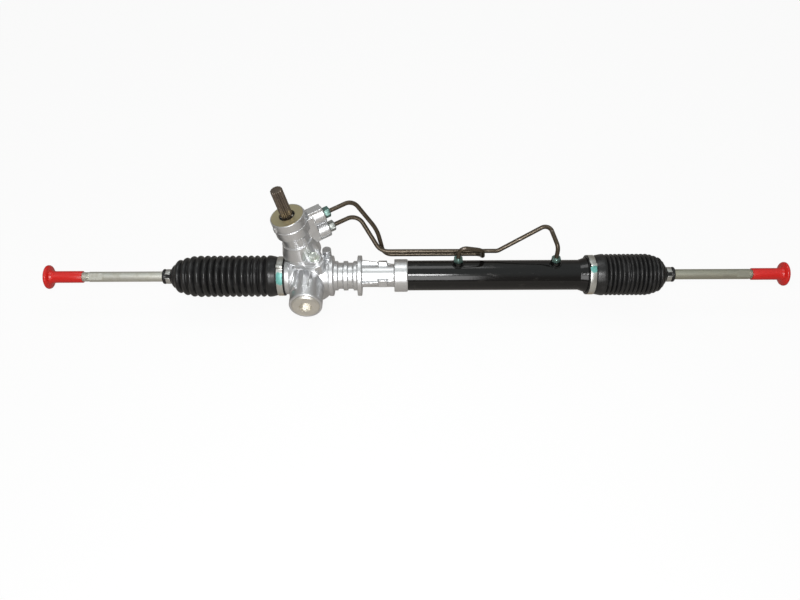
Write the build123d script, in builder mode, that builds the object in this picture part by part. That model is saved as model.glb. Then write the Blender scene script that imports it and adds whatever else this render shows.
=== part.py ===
from build123d import *
import os
from math import acos, atan, ceil, cos, degrees, pi, radians, sin, tan

# Hydraulic power steering rack. Millimetres.
# X runs along the rack, +Z is up and -Y faces the viewer. The origin is on the rack's axis,
# in the middle of the ribbed seat on which the housing clamp sits.

# Clearances
running_gap = 0.05
bore_gap = 0.1
soft_gap = 0.3

# General sizes
rim_chamfer = 1.5
snap_ring_width = 1.3
snap_ring_bite = 0.8
snap_ring_depth = 1.2
snap_ring_opening = 6.0

# Gearing. The pinion leans by its own helix angle, so the rack's teeth are cut square.
pinion_teeth = 7
pinion_lean = 12.0
rack_pitch = 6.7
pressure_angle = 25.0
pinion_tooth_share = 0.6
backlash = 0.2
rack_addendum = 1.3
rack_dedendum = 2.72
tooth_root_gap = 0.35
rack_tip_y = 8.5
pinion_face = 34.0

# Rack bar, its travel from the resting place, and the hydraulic piston
rack_radius = 12.5
travel_left = 52.0
travel_right = 88.0
teeth_reach = 11.0
piston_length = 14.0
piston_end_margin = 1.5
piston_groove_depth = 1.6
piston_ring_width = 3.0
piston_radius = 19.8
piston_relief = 17.0
piston_land_inset = 3.5

# Housing stations along X, to the left of the clamp seat
seat_half = 17.6
collar_width = 5.9
collar_radius = 29.7
seat_radius = 19.3
seat_rib_radius = 21.7
seat_rib_width = 6.3
pinion_offset = 54.5
housing_face_offset = 88.0
housing_neck_length = 20.0
stop_recess = 7.0
stop_recess_radius = 19.3
barrel_radius = 24.0
shoulder_radius = 26.8
shoulder_width = 6.0
rack_bore_radius = 14.5

# Housing stations to the right of the clamp seat
neck_radius = 16.8
neck_end = 71.0
socket_length = 20.0
socket_radius = 24.0
socket_shoulder = 4.0
pad_start = 48.0
pad_length = 12.5
pad_width = 12.0
pad_height = 21.5
pad_turns = (-32.0, 80.0)
fin_width = 5.0
fin_reach = 23.3
hose_boss_x = -27.0
hose_boss_y = 18.0
hose_boss_radius = 6.5
hose_boss_top = 36.0

# Pinion tower, in heights along the pinion's own axis above the rack's axis
flange_height = 27.0
flange_seat_gap = 0.8
flange_plate = 12.0
tower_radius = 20.5
tower_bottom = 50.0
lug_radius = 9.0
lug_circle = 31.0
lug_angle = -46.0
valve_flange = 12.0
flange_rib_width = 3.0
bolt_radius = 4.0
bolt_head = 13.0
bolt_head_height = 7.5
o_ring_radius = 18.5
o_ring_wire = 0.95
waist_radius = 20.0
waist_top = 74.0
flare_height = 3.5
valve_head_radius = 24.5
head_seam = 92.6
seam_groove = 1.4
head_top = 106.0
head_rim = 0.8
key_angle = -135.0
key_height = 97.5
key_length = 8.0
key_width = 4.0
key_reach = 26.8
valve_bore_radius = 16.05
shaft_bore_radius = 14.0
bore_step = 83.0

# Valve ports
port_angle = 24.0
port_heights = (56.5, 82.5)
port_reach = 49.0
port_radius = 10.3
port_block_width = 20.0
port_block_reach = 32.0
port_block_height = 43.0
port_groove = 1.5
port_groove_depth = 1.3
supply_angle = 80.0
supply_reach = 34.0
supply_ports = ((60.0, 8.0), (84.0, 7.0))
supply_wall = 3.5
supply_depth = 12.0

# Pinion shaft, valve and bearings
pinion_journal = 9.0
lower_journal = 6.0
lower_thread = 5.0
lower_bearing_outer = 15.0
lower_bearing_width = 9.0
lower_bearing_top = -21.0
race_thickness = 2.9
bearing_ball_radius = 2.5
bearing_balls = 8
lock_nut_width = 8.0
lock_nut_across = 17.0
end_cap_radius = 17.0
end_cap_length = 9.0
end_cap_hex = 19.0
end_cap_hex_height = 5.0
upper_bearing_bottom = 19.2
upper_bearing_width = 7.6
upper_bearing_outer = 13.0
pinion_seal_bottom = 28.5
pinion_seal_width = 5.0
pinion_head_bottom = 41.0
pinion_top = 46.0
pinion_head_radius = 12.0
pinion_head_width = 2.0
sleeve_top = 82.0
sleeve_radius = 15.9
sleeve_bore = 9.6
valve_ring_count = 4
valve_ring_width = 2.4
valve_ring_depth = 1.2
input_journal = 9.0
input_journal_top = 108.0
input_radius = 8.5
input_top = 151.5
input_bottom_gap = 1.5
torsion_radius = 2.6
torsion_bore = 3.0
torsion_bottom = 8.0
torsion_grip = 10.0
torsion_top = 134.0
torsion_pin_radius = 2.0
torsion_pin_height = 104.0
input_bearing_bottom = 84.0
input_bearing_width = 8.0
input_seal_bottom = 93.0
input_seal_width = 6.5
snap_ring_bottom = 100.5
cover_thickness = 2.0
cover_opening = 11.5
cover_radius = 22.8
shaft_notch_radius = 2.5

# Rack guide, behind the rack on the viewer's side
guide_boss_radius = 23.7
guide_boss_length = 60.5
guide_radius = 17.4
guide_hollow = 21.0
guide_hollow_radius = 11.0
guide_ring_inset = 10.0
guide_ring_wire = 1.2
guide_pad_thickness = 1.0
guide_pad_length = 28.0
guide_pad_edge = 6.0
guide_relief = 2.5
plug_radius = 20.0
plug_length = 16.0
plug_crown = 2.0
plug_hex = 17.0
plug_hex_depth = 8.0
spring_wire = 1.6
spring_turns = 3.5
spring_radius = 8.0
spring_seat = 4.0
guide_cheek_left = 17.0
guide_cheek_right = 4.0
guide_cheek_side = 8.0
guide_cheek_length = 44.0
guide_channel_left = 13.0
guide_channel_right = 5.0
guide_channel_depth = 2.6

# Hydraulic cylinder
tube_radius = 22.0
tube_wall = 2.0
chamber_left = 158.5
seal_carrier_length = 26.5
end_plug_length = 34.5
tube_flare_radius = 25.5
tube_flare_start = 340.0
tube_flare_length = 10.0
tube_end_sleeve = 22.0
seal_lip = 3.0
seal_length = 7.0
seal_outer = 16.5
bushing_length = 12.0
bushing_start = 335.0
port_boss_radius = 7.2
port_boss_height = 27.0
port_lean = 4.0
left_port_x = 163.4
right_port_x = 304.5
port_hole = 2.5

# Hydraulic lines
line_radius = 3.15
line_bend = 11.0
line_exit_reach = 45.0
line_port_reach = 25.0
left_drop_bend = (46.3, 40.1, 53.9)
left_run_start = 55.5
left_run_y = 30.5
left_run_z = 14.1
left_turn_reach = 34.0
left_turn_bottom = (17.5, 21.8)
left_turn_top = (5.0, 45.0)
right_run_start = 51.0
right_run_end = 222.0
right_run_y = 22.3
right_run_z = 27.7
right_rise_offset = 10.5
right_rise_top = (38.0, 66.0)
line_nut_across = 12.0
line_nut_length = 7.0
valve_nut_across = 14.0
valve_nut_length = 9.0

# Inner ball joints and tie rods
socket_inner_length = 27.0
joint_socket_radius = 17.5
ball_radius = 12.5
ball_seat_wall = 1.8
socket_mouth = 8.0
socket_flat_across = 32.0
socket_flat_length = 12.0
seat_back = 10.0
socket_stud = 7.9
socket_stud_length = 15.0
washer_thickness = 2.0
washer_radius = 12.4
tie_rod_radius = 7.5
tie_rod_neck = 5.5
neck_flare_start = 17.0
neck_flare_end = 26.0
bellows_neck_reach = 52.0
bellows_neck_width = 13.0
rod_thread_radius = 7.0
wrench_across = 12.0
wrench_turn = 43.0
wrench_length = 20.0
left_rod_length = 140.0
right_rod_length = 142.5
left_thread_length = 53.0
right_thread_length = 46.0
cap_length = 50.0
cap_radius = 8.65
cap_disc_radius = 17.5
cap_disc_thickness = 3.5
left_cap_gap = 8.0
right_cap_gap = 3.5

# Bellows, measured from the inboard lip outwards
bellows_wall = 1.6
bellows_lip = 1.5
bellows_lip_height = 3.2
bellows_cuff_wall = 2.4
bellows_clamp_width = 9.0
bellows_cuff_length = 11.0
bellows_crest_radius = 30.4
bellows_shrink = 11.0
bellows_shrink_power = 1.6
bellows_bead_width = 4.0
bellows_bead_height = 1.3
clamp_thickness = 1.0
clamp_ear = 4.0
clamp_ear_width = 6.0
clamp_ear_angle = 108.0
clip_ear = 5.0
clip_ear_angle = 133.0
clip_ear_spread = 18.0
clip_wire = 1.6
clip_width = 7.0
clip_inset = 0.8
right_lip_x = 351.0
left_folds = (23.4, 9.07, 10, 10.33, 128.0, 4.6)
right_folds = (24.5, 6.3, 10, 6.3, 86.5, 2.6)

# Sizes that follow from the ones above
lean = radians(pinion_lean)
pitch_radius = pinion_teeth * rack_pitch / (2 * pi * cos(lean))
transverse_angle = atan(tan(radians(pressure_angle)) / cos(lean))
base_radius = pitch_radius * cos(transverse_angle)
rack_pitch_y = rack_tip_y - rack_addendum
rack_root_y = rack_pitch_y - rack_dedendum
pinion_y = rack_pitch_y + pitch_radius
pinion_tip = pinion_y - rack_root_y - tooth_root_gap
pinion_root = pinion_y - rack_tip_y - tooth_root_gap
rack_tooth = (1 - pinion_tooth_share) * rack_pitch - backlash

pinion_x = -pinion_offset
housing_face_x = -housing_face_offset
left_neck_tip = housing_face_x - housing_neck_length
left_stop_x = left_neck_tip + stop_recess
tube_start = neck_end + socket_shoulder
socket_end = neck_end + socket_length
travel = travel_left + travel_right
chamber_length = travel + piston_length + 2 * piston_end_margin
chamber_right = chamber_left + chamber_length
right_stop_x = chamber_right + end_plug_length
tube_end = tube_flare_start + tube_flare_length + tube_end_sleeve
tube_bore = tube_radius - tube_wall
flare_bore = tube_flare_radius - tube_wall
piston_x = chamber_left + piston_end_margin + travel_left + piston_length / 2
rack_left = left_stop_x - travel_right
rack_right = right_stop_x + travel_left
left_ball_x = rack_left - socket_inner_length
right_ball_x = rack_right + socket_inner_length
left_neck_x = left_ball_x - bellows_neck_reach
right_neck_x = right_ball_x + bellows_neck_reach
seat_cavity = ball_radius + running_gap + ball_seat_wall + running_gap

plug_inner = guide_boss_length + plug_crown - plug_length
plug_outer = guide_boss_length + plug_crown
guide_back = plug_inner - soft_gap
guide_ring_depth = plug_inner - guide_ring_inset
bearing_bottom = lower_bearing_top - lower_bearing_width
lock_nut_bottom = bearing_bottom - lock_nut_width
sleeve_bottom = pinion_head_bottom + pinion_head_width

lean_axis = Vector(-sin(lean), 0, cos(lean))
lean_side = Vector(cos(lean), 0, sin(lean))
pinion_origin = Vector(pinion_x, pinion_y, 0)
pinion_line = Axis(pinion_origin, lean_axis)
tower_section = Plane(pinion_origin, x_dir=lean_side, z_dir=(0, -1, 0))
guide_section = Plane((pinion_x, 0, 0), x_dir=(0, 0, 1), z_dir=(1, 0, 0))
guide_line = Axis((pinion_x, 0, 0), (0, -1, 0))

os.makedirs("parts", exist_ok=True)


def level(height):
    """Plane square to the pinion's axis, at a height along it."""
    return Plane(pinion_origin + lean_axis * height, x_dir=lean_side, z_dir=lean_axis)


def radial(angle, height, reach=0.0):
    """Plane that looks out from the pinion's axis at an angle round it, x along the axis."""
    out = lean_side * cos(radians(angle)) + Vector(0, 1, 0) * sin(radians(angle))
    return Plane(pinion_origin + lean_axis * height + out * reach, x_dir=lean_axis, z_dir=out)


def across(x_position):
    """Plane square to the rack, seen from its right end."""
    return Plane((x_position, 0, 0), x_dir=(0, 1, 0), z_dir=(1, 0, 0))


def guide_level(depth):
    """Plane square to the rack guide's axis, at a depth towards the viewer."""
    return Plane((pinion_x, -depth, 0), x_dir=(1, 0, 0), z_dir=(0, -1, 0))


def port_plane(x_position, height):
    """Plane on a cylinder port's axis at a height, facing out."""
    out = Vector(0, sin(radians(port_lean)), cos(radians(port_lean)))
    return Plane(Vector(x_position, 0, 0) + out * height, x_dir=(1, 0, 0), z_dir=out)


def save(piece, name):
    """Labels a finished sub-part and writes its file."""
    piece.label = name
    export_step(piece, f"parts/{name}.step")


def turned(outline, plane=Plane.XZ, axis=Axis.X):
    """Solid of revolution from a closed outline."""
    with BuildPart() as piece:
        with BuildSketch(plane):
            with BuildLine():
                Polyline(*outline, close=True)
            make_face()
        revolve(axis=axis)
    return piece.part


def rings(start, end, inner, outer):
    """Outline of a plain ring from start to end along its axis."""
    return [(start, inner), (end, inner), (end, outer), (start, outer)]


def tower_ring(bottom, top, inner, outer):
    """Outline of a plain ring about the pinion's axis."""
    return [(inner, bottom), (outer, bottom), (outer, top), (inner, top)]


# Gear housing: an aluminium casting that holds the rack, the pinion and the rack guide
collar_edge = seat_half + collar_width
with BuildPart() as gear_housing:
    with BuildSketch(Plane.XZ):
        with BuildLine():
            Polyline(
                (left_neck_tip, 0),
                (left_neck_tip, tube_flare_radius),
                (housing_face_x, tube_flare_radius),
                (housing_face_x, shoulder_radius),
                (housing_face_x + shoulder_width, shoulder_radius),
                (housing_face_x + 2 * shoulder_width, barrel_radius),
                (-collar_edge, barrel_radius),
                (-collar_edge, collar_radius),
                (-seat_half, collar_radius),
                (-seat_half, seat_radius),
                (seat_half, seat_radius),
                (seat_half, collar_radius),
                (collar_edge, collar_radius),
                (collar_edge, neck_radius),
                (neck_end, neck_radius),
                (neck_end, socket_radius),
                (socket_end - rim_chamfer, socket_radius),
                (socket_end, socket_radius - rim_chamfer),
                (socket_end, 0),
                close=True,
            )
        make_face()
    revolve(axis=Axis.X)
    for rib_x in (-seat_half, -seat_rib_width / 2, seat_half - seat_rib_width):
        with BuildSketch(across(rib_x)):
            Circle(seat_rib_radius)
        extrude(amount=seat_rib_width)

    # Square pads on the neck, one up and one towards the viewer, and the fins that run to them
    for pad_turn in pad_turns:
        with BuildSketch(Plane((pad_start + pad_length / 2, 0, 0)).rotated((pad_turn, 0, 0))):
            Rectangle(pad_length, pad_width)
        extrude(amount=pad_height)
        with BuildSketch(Plane.XZ.rotated((pad_turn, 0, 0))):
            with BuildLine():
                Polyline(
                    (collar_edge, 0),
                    (collar_edge, fin_reach),
                    (neck_end, neck_radius),
                    (neck_end, 0),
                    close=True,
                )
            make_face()
        extrude(amount=fin_width / 2, both=True)

    # Plain boss behind the tower
    with BuildSketch(Plane.XY):
        with Locations((hose_boss_x, hose_boss_y)):
            Circle(hose_boss_radius)
    extrude(amount=hose_boss_top)

    # Pinion tower and its flange, with a lug for each bolt
    with BuildSketch(level(-tower_bottom)):
        Circle(tower_radius)
    extrude(amount=tower_bottom + flange_height)
    with BuildSketch(level(flange_height - flange_plate)) as lower_flange:
        Circle(valve_head_radius)
        with PolarLocations(lug_circle, 2, start_angle=lug_angle):
            Circle(lug_radius)
        make_hull(lower_flange.edges())
    extrude(amount=flange_plate)

    # Rack guide boss, its chamfered rim and the channelled cheek on its upper side
    with BuildSketch(guide_level(0)):
        Circle(guide_boss_radius)
    extrude(amount=guide_boss_length - rim_chamfer)
    with BuildSketch(guide_level(guide_boss_length - rim_chamfer)):
        Circle(guide_boss_radius)
    extrude(amount=rim_chamfer, taper=45)
    cheek_top = guide_boss_radius - 1
    channel_floor = cheek_top - guide_channel_depth
    with BuildSketch(guide_level(barrel_radius / 2)):
        with BuildLine():
            Polyline(
                (-guide_boss_radius, 0),
                (-guide_boss_radius, guide_cheek_side),
                (-guide_cheek_left, cheek_top),
                (-guide_channel_left, cheek_top),
                (-guide_channel_left, channel_floor),
                (-guide_channel_right, channel_floor),
                (-guide_channel_right, guide_boss_radius + 1),
                (guide_cheek_right, guide_boss_radius + 1),
                (guide_cheek_right, 0),
                close=True,
            )
        make_face()
    extrude(amount=guide_cheek_length - barrel_radius / 2)

    # Seat milled for the valve housing's flange
    with BuildSketch(level(flange_height)) as flange_seat:
        Circle(valve_head_radius + flange_seat_gap)
        with PolarLocations(lug_circle, 2, start_angle=lug_angle):
            Circle(lug_radius + flange_seat_gap)
        make_hull(flange_seat.edges())
    extrude(amount=barrel_radius, mode=Mode.SUBTRACT)

    # Bores
    with BuildSketch(across(left_neck_tip)):
        Circle(rack_bore_radius)
    extrude(amount=socket_end - left_neck_tip, mode=Mode.SUBTRACT)
    with BuildSketch(across(left_neck_tip)):
        Circle(stop_recess_radius)
    extrude(amount=stop_recess, mode=Mode.SUBTRACT)
    with BuildSketch(across(tube_start)):
        Circle(tube_radius + running_gap)
    extrude(amount=socket_length, mode=Mode.SUBTRACT)
    with BuildSketch(guide_level(0)):
        Circle(guide_radius + running_gap)
    extrude(amount=guide_boss_length, mode=Mode.SUBTRACT)
    with BuildSketch(guide_level(plug_inner)):
        Circle(plug_radius)
    extrude(amount=plug_length, mode=Mode.SUBTRACT)
    with BuildSketch(level(-tower_bottom)):
        Circle(end_cap_radius)
    extrude(amount=end_cap_length, mode=Mode.SUBTRACT)
    with BuildSketch(level(-tower_bottom)):
        Circle(lower_bearing_outer)
    extrude(amount=tower_bottom + lower_bearing_top, mode=Mode.SUBTRACT)
    with BuildSketch(level(lower_bearing_top)):
        Circle(pinion_tip + soft_gap)
    extrude(amount=upper_bearing_bottom - lower_bearing_top, mode=Mode.SUBTRACT)
    with BuildSketch(level(upper_bearing_bottom)):
        Circle(upper_bearing_outer)
    extrude(amount=flange_height - upper_bearing_bottom, mode=Mode.SUBTRACT)
    with BuildSketch(level(flange_height - flange_plate)):
        with PolarLocations(lug_circle, 2, start_angle=lug_angle):
            Circle(bolt_radius)
    extrude(amount=flange_plate, mode=Mode.SUBTRACT)
save(gear_housing.part, "gear_housing")

# Valve housing: the tower's upper casting, with the line ports and the supply ports
valve_base = flange_height + valve_flange
with BuildPart() as valve_housing:
    with BuildSketch(level(flange_height)) as upper_flange:
        Circle(valve_head_radius)
        with PolarLocations(lug_circle, 2, start_angle=lug_angle):
            Circle(lug_radius)
        make_hull(upper_flange.edges())
    extrude(amount=valve_flange)
    with BuildSketch(tower_section):
        with BuildLine():
            Polyline(
                (0, valve_base),
                (waist_radius, valve_base),
                (waist_radius, waist_top),
                (valve_head_radius, waist_top + flare_height),
                (valve_head_radius, head_seam - seam_groove),
                (valve_head_radius - seam_groove, head_seam - seam_groove),
                (valve_head_radius - seam_groove, head_seam),
                (valve_head_radius, head_seam),
                (valve_head_radius, head_top - head_rim),
                (valve_head_radius - head_rim, head_top),
                (0, head_top),
                close=True,
            )
        make_face()
    revolve(axis=pinion_line)
    port_middle = sum(port_heights) / len(port_heights)
    with BuildSketch(radial(port_angle, port_middle)):
        Rectangle(port_block_height, port_block_width)
    extrude(amount=port_block_reach)
    for port_height in port_heights:
        with BuildSketch(radial(port_angle, port_height)):
            Circle(port_radius - port_groove_depth)
        extrude(amount=port_reach)
        with BuildSketch(radial(port_angle, port_height, port_block_reach + port_groove)):
            Circle(port_radius)
        extrude(amount=port_reach - port_block_reach - port_groove)
    with BuildSketch(radial(key_angle, key_height)):
        Rectangle(key_length, key_width)
    extrude(amount=key_reach)
    for port_height, hole_radius in supply_ports:
        with BuildSketch(radial(supply_angle, port_height)):
            Circle(hole_radius + supply_wall)
        extrude(amount=supply_reach)
    rib_out = radial(lug_angle, 0).z_dir
    with BuildSketch(Plane(pinion_origin, x_dir=rib_out, z_dir=rib_out.cross(lean_axis))):
        with BuildLine():
            Polyline(
                (waist_radius - 1, valve_base + bolt_head_height + soft_gap),
                (lug_circle - bolt_head / 2, valve_base + bolt_head_height + soft_gap),
                (valve_head_radius, waist_top),
                (waist_radius - 1, waist_top),
                close=True,
            )
        make_face()
    extrude(amount=flange_rib_width / 2, both=True)

    # Bores
    with BuildSketch(level(flange_height)):
        Circle(valve_bore_radius)
    extrude(amount=bore_step - flange_height, mode=Mode.SUBTRACT)
    with BuildSketch(level(bore_step)):
        Circle(shaft_bore_radius)
    extrude(amount=head_top - bore_step, mode=Mode.SUBTRACT)
    with BuildSketch(level(head_top - cover_thickness)):
        Circle(cover_radius + running_gap)
    extrude(amount=cover_thickness, mode=Mode.SUBTRACT)
    with BuildSketch(level(snap_ring_bottom)):
        Circle(shaft_bore_radius + snap_ring_bite)
    extrude(amount=snap_ring_width, mode=Mode.SUBTRACT)
    with BuildSketch(level(flange_height)):
        Circle(o_ring_radius + o_ring_wire)
        Circle(o_ring_radius - o_ring_wire, mode=Mode.SUBTRACT)
    extrude(amount=2 * o_ring_wire - running_gap, mode=Mode.SUBTRACT)
    with BuildSketch(level(flange_height)):
        with PolarLocations(lug_circle, 2, start_angle=lug_angle):
            Circle(bolt_radius + bore_gap)
    extrude(amount=valve_flange + waist_radius, mode=Mode.SUBTRACT)
    for port_height in port_heights:
        with BuildSketch(radial(port_angle, port_height, port_reach)):
            Circle(line_radius + bore_gap)
        extrude(amount=valve_bore_radius - port_reach, mode=Mode.SUBTRACT)
    for port_height, hole_radius in supply_ports:
        with BuildSketch(radial(supply_angle, port_height, supply_reach)):
            Circle(hole_radius)
        extrude(amount=-supply_depth, mode=Mode.SUBTRACT)
save(valve_housing.part, "valve_housing")

with BuildPart() as valve_housing_bolts:
    with BuildSketch(level(flange_height - flange_plate)):
        with PolarLocations(lug_circle, 2, start_angle=lug_angle):
            Circle(bolt_radius)
    extrude(amount=flange_plate + valve_flange)
    with BuildSketch(level(valve_base)):
        with PolarLocations(lug_circle, 2, start_angle=lug_angle):
            RegularPolygon(bolt_head / 2, 6, major_radius=False)
    extrude(amount=bolt_head_height)
save(valve_housing_bolts.part, "valve_housing_bolts")

with BuildPart() as valve_housing_o_ring:
    with BuildSketch(tower_section):
        with Locations((o_ring_radius, flange_height + o_ring_wire)):
            Circle(o_ring_wire - running_gap)
    revolve(axis=pinion_line)
save(valve_housing_o_ring.part, "valve_housing_o_ring")

# Plain rings about the pinion's axis
tower_rings = {
    "top_dust_cover": tower_ring(head_top - cover_thickness, head_top, cover_opening, cover_radius),
    "input_shaft_seal": tower_ring(
        input_seal_bottom, input_seal_bottom + input_seal_width,
        input_journal + running_gap, shaft_bore_radius,
    ),
    "input_shaft_bearing": tower_ring(
        input_bearing_bottom, input_bearing_bottom + input_bearing_width,
        input_journal + running_gap, shaft_bore_radius,
    ),
    "pinion_upper_bearing": tower_ring(
        upper_bearing_bottom, upper_bearing_bottom + upper_bearing_width,
        pinion_journal + running_gap, upper_bearing_outer,
    ),
    "pinion_seal": tower_ring(
        pinion_seal_bottom, pinion_seal_bottom + pinion_seal_width,
        pinion_journal + running_gap, valve_bore_radius,
    ),
}
for ring_name, ring_outline in tower_rings.items():
    save(turned(ring_outline, tower_section, pinion_line), ring_name)

with BuildPart() as seal_snap_ring:
    with BuildSketch(level(snap_ring_bottom)):
        Circle(shaft_bore_radius + snap_ring_bite - running_gap)
        Circle(shaft_bore_radius - snap_ring_depth, mode=Mode.SUBTRACT)
        with Locations((shaft_bore_radius, 0)):
            Rectangle(2 * snap_ring_depth + snap_ring_bite, snap_ring_opening, mode=Mode.SUBTRACT)
    extrude(amount=snap_ring_width)
save(seal_snap_ring.part, "seal_snap_ring")

# Lower ball bearing
bearing_middle = lower_bearing_top - lower_bearing_width / 2
inner_race_radius = lower_journal + race_thickness
outer_race_radius = lower_bearing_outer - race_thickness
ball_circle = (inner_race_radius + outer_race_radius) / 2
race_spans = {
    "lower_bearing_inner_race": (lower_journal, inner_race_radius),
    "lower_bearing_outer_race": (outer_race_radius, lower_bearing_outer),
}
for race_name, (race_inner, race_outer) in race_spans.items():
    with BuildPart() as race:
        with BuildSketch(tower_section):
            with Locations(((race_inner + race_outer) / 2, bearing_middle)):
                Rectangle(race_outer - race_inner, lower_bearing_width)
            with Locations((ball_circle, bearing_middle)):
                Circle(bearing_ball_radius + bore_gap, mode=Mode.SUBTRACT)
        revolve(axis=pinion_line)
    save(race.part, race_name)

with BuildPart() as lower_bearing_balls:
    with Locations(level(bearing_middle)):
        with PolarLocations(ball_circle, bearing_balls):
            Sphere(bearing_ball_radius)
save(lower_bearing_balls.part, "lower_bearing_balls")

with BuildPart() as pinion_lock_nut:
    with BuildSketch(level(lock_nut_bottom)):
        RegularPolygon(lock_nut_across / 2, 6, major_radius=False)
        Circle(lower_thread + running_gap, mode=Mode.SUBTRACT)
    extrude(amount=lock_nut_width)
save(pinion_lock_nut.part, "pinion_lock_nut")

with BuildPart() as pinion_end_cap:
    with BuildSketch(level(-tower_bottom)):
        Circle(end_cap_radius)
    extrude(amount=end_cap_length)
    with BuildSketch(level(-tower_bottom)):
        RegularPolygon(end_cap_hex / 2, 6, major_radius=False)
    extrude(amount=-end_cap_hex_height)
    with BuildSketch(level(end_cap_length - tower_bottom)):
        Circle(lower_bearing_outer - bore_gap)
        Circle(lower_bearing_outer - race_thickness, mode=Mode.SUBTRACT)
    extrude(amount=bearing_bottom + tower_bottom - end_cap_length)
save(pinion_end_cap.part, "pinion_end_cap")


def pinion_half_angle(radius):
    """Half of a pinion tooth's angle at a radius, on its involute flank."""
    base_half = pinion_tooth_share * pi / pinion_teeth
    start = base_half + tan(transverse_angle) - transverse_angle
    contact = acos(min(1.0, base_radius / radius))
    return start - tan(contact) + contact


def pinion_outline(turn):
    """Points round the pinion's section, one tooth at the rack, turned by an angle."""
    flank = [base_radius + step * (pinion_tip - base_radius) / 3 for step in range(4)]
    points = []
    for tooth in range(pinion_teeth):
        middle = turn - pi / 2 + tooth * 2 * pi / pinion_teeth
        corner = pinion_half_angle(base_radius)
        rising = [(pinion_root, middle - corner)]
        rising += [(radius, middle - pinion_half_angle(radius)) for radius in flank]
        falling = [(radius, 2 * middle - angle) for radius, angle in reversed(rising)]
        points += [(r * cos(angle), r * sin(angle)) for r, angle in rising + falling]
    return points


# Helical pinion in one piece with its shaft
pinion_twist = degrees(tan(lean) / pitch_radius) * pinion_face
with BuildSketch(level(-pinion_face / 2)) as pinion_section:
    with BuildLine():
        Polyline(*pinion_outline(-radians(pinion_twist) / 2), close=True)
    make_face()
toothed_length = Solid.extrude_linear_with_rotation(
    pinion_section.sketch.faces()[0],
    level(-pinion_face / 2).origin,
    lean_axis * pinion_face,
    pinion_twist,
)
with BuildPart() as pinion:
    add(toothed_length)
    with BuildSketch(tower_section):
        with BuildLine():
            Polyline(
                (0, lock_nut_bottom - 1),
                (lower_thread, lock_nut_bottom - 1),
                (lower_thread, bearing_bottom),
                (lower_journal, bearing_bottom),
                (lower_journal, lower_bearing_top),
                (pinion_tip - 1, lower_bearing_top),
                (pinion_root, -pinion_face / 2),
                (pinion_root, pinion_face / 2),
                (pinion_journal, upper_bearing_bottom - 2),
                (pinion_journal, pinion_head_bottom),
                (pinion_head_radius, pinion_head_bottom),
                (pinion_head_radius, sleeve_bottom),
                (sleeve_bore - running_gap, sleeve_bottom),
                (sleeve_bore - running_gap, pinion_top),
                (0, pinion_top),
                close=True,
            )
        make_face()
    revolve(axis=pinion_line)
    with BuildSketch(level(torsion_bottom)):
        Circle(torsion_bore)
    extrude(amount=pinion_top - torsion_bottom, mode=Mode.SUBTRACT)
save(pinion.part, "pinion")

# Rotary valve: sleeve on the pinion, input shaft inside it, torsion bar between them
sleeve_pitch = (sleeve_top - sleeve_bottom) / valve_ring_count
ring_heights = [sleeve_bottom + (index + 0.5) * sleeve_pitch for index in range(valve_ring_count)]
with BuildPart() as valve_sleeve:
    with BuildSketch(level(sleeve_bottom)):
        Circle(sleeve_radius)
        Circle(sleeve_bore, mode=Mode.SUBTRACT)
    extrude(amount=sleeve_top - sleeve_bottom)
    for ring_height in ring_heights:
        with BuildSketch(level(ring_height - valve_ring_width / 2)):
            Circle(sleeve_radius)
            Circle(sleeve_radius - valve_ring_depth, mode=Mode.SUBTRACT)
        extrude(amount=valve_ring_width, mode=Mode.SUBTRACT)
save(valve_sleeve.part, "valve_sleeve")

with BuildPart() as valve_rings:
    for ring_height in ring_heights:
        with BuildSketch(level(ring_height - valve_ring_width / 2 + bore_gap)):
            Circle(sleeve_radius + bore_gap / 2)
            Circle(sleeve_radius - valve_ring_depth, mode=Mode.SUBTRACT)
        extrude(amount=valve_ring_width - 2 * bore_gap)
save(valve_rings.part, "valve_rings")

input_bottom = pinion_top + input_bottom_gap
with BuildPart() as input_shaft:
    with BuildSketch(tower_section):
        with BuildLine():
            Polyline(
                (0, input_bottom),
                (sleeve_bore - running_gap, input_bottom),
                (sleeve_bore - running_gap, sleeve_top),
                (input_journal, sleeve_top),
                (input_journal, input_journal_top),
                (input_radius, input_journal_top),
                (input_radius, input_top - rim_chamfer),
                (input_radius - rim_chamfer, input_top),
                (0, input_top),
                close=True,
            )
        make_face()
    revolve(axis=pinion_line)
    with BuildSketch(level(input_bottom)):
        Circle(torsion_bore)
    extrude(amount=torsion_top - input_bottom, mode=Mode.SUBTRACT)
    with BuildSketch(level(torsion_top)):
        Circle(shaft_notch_radius)
    extrude(amount=input_top - torsion_top, mode=Mode.SUBTRACT)
    with BuildSketch(radial(0, torsion_pin_height, -input_journal)):
        Circle(torsion_pin_radius)
    extrude(amount=2 * input_journal, mode=Mode.SUBTRACT)
save(input_shaft.part, "input_shaft")

with BuildPart() as torsion_bar:
    with BuildSketch(tower_section):
        with BuildLine():
            Polyline(
                (0, torsion_bottom),
                (torsion_bore, torsion_bottom),
                (torsion_bore, torsion_bottom + torsion_grip),
                (torsion_radius, torsion_bottom + torsion_grip + 2),
                (torsion_radius, torsion_top - bore_gap),
                (0, torsion_top - bore_gap),
                close=True,
            )
        make_face()
    revolve(axis=pinion_line)
    with BuildSketch(radial(0, torsion_pin_height, -input_journal)):
        Circle(torsion_pin_radius + soft_gap)
    extrude(amount=2 * input_journal, mode=Mode.SUBTRACT)
save(torsion_bar.part, "torsion_bar")

with BuildPart() as torsion_bar_pin:
    with BuildSketch(radial(0, torsion_pin_height, soft_gap - input_journal)):
        Circle(torsion_pin_radius)
    extrude(amount=2 * (input_journal - soft_gap))
save(torsion_bar_pin.part, "torsion_bar_pin")

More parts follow.
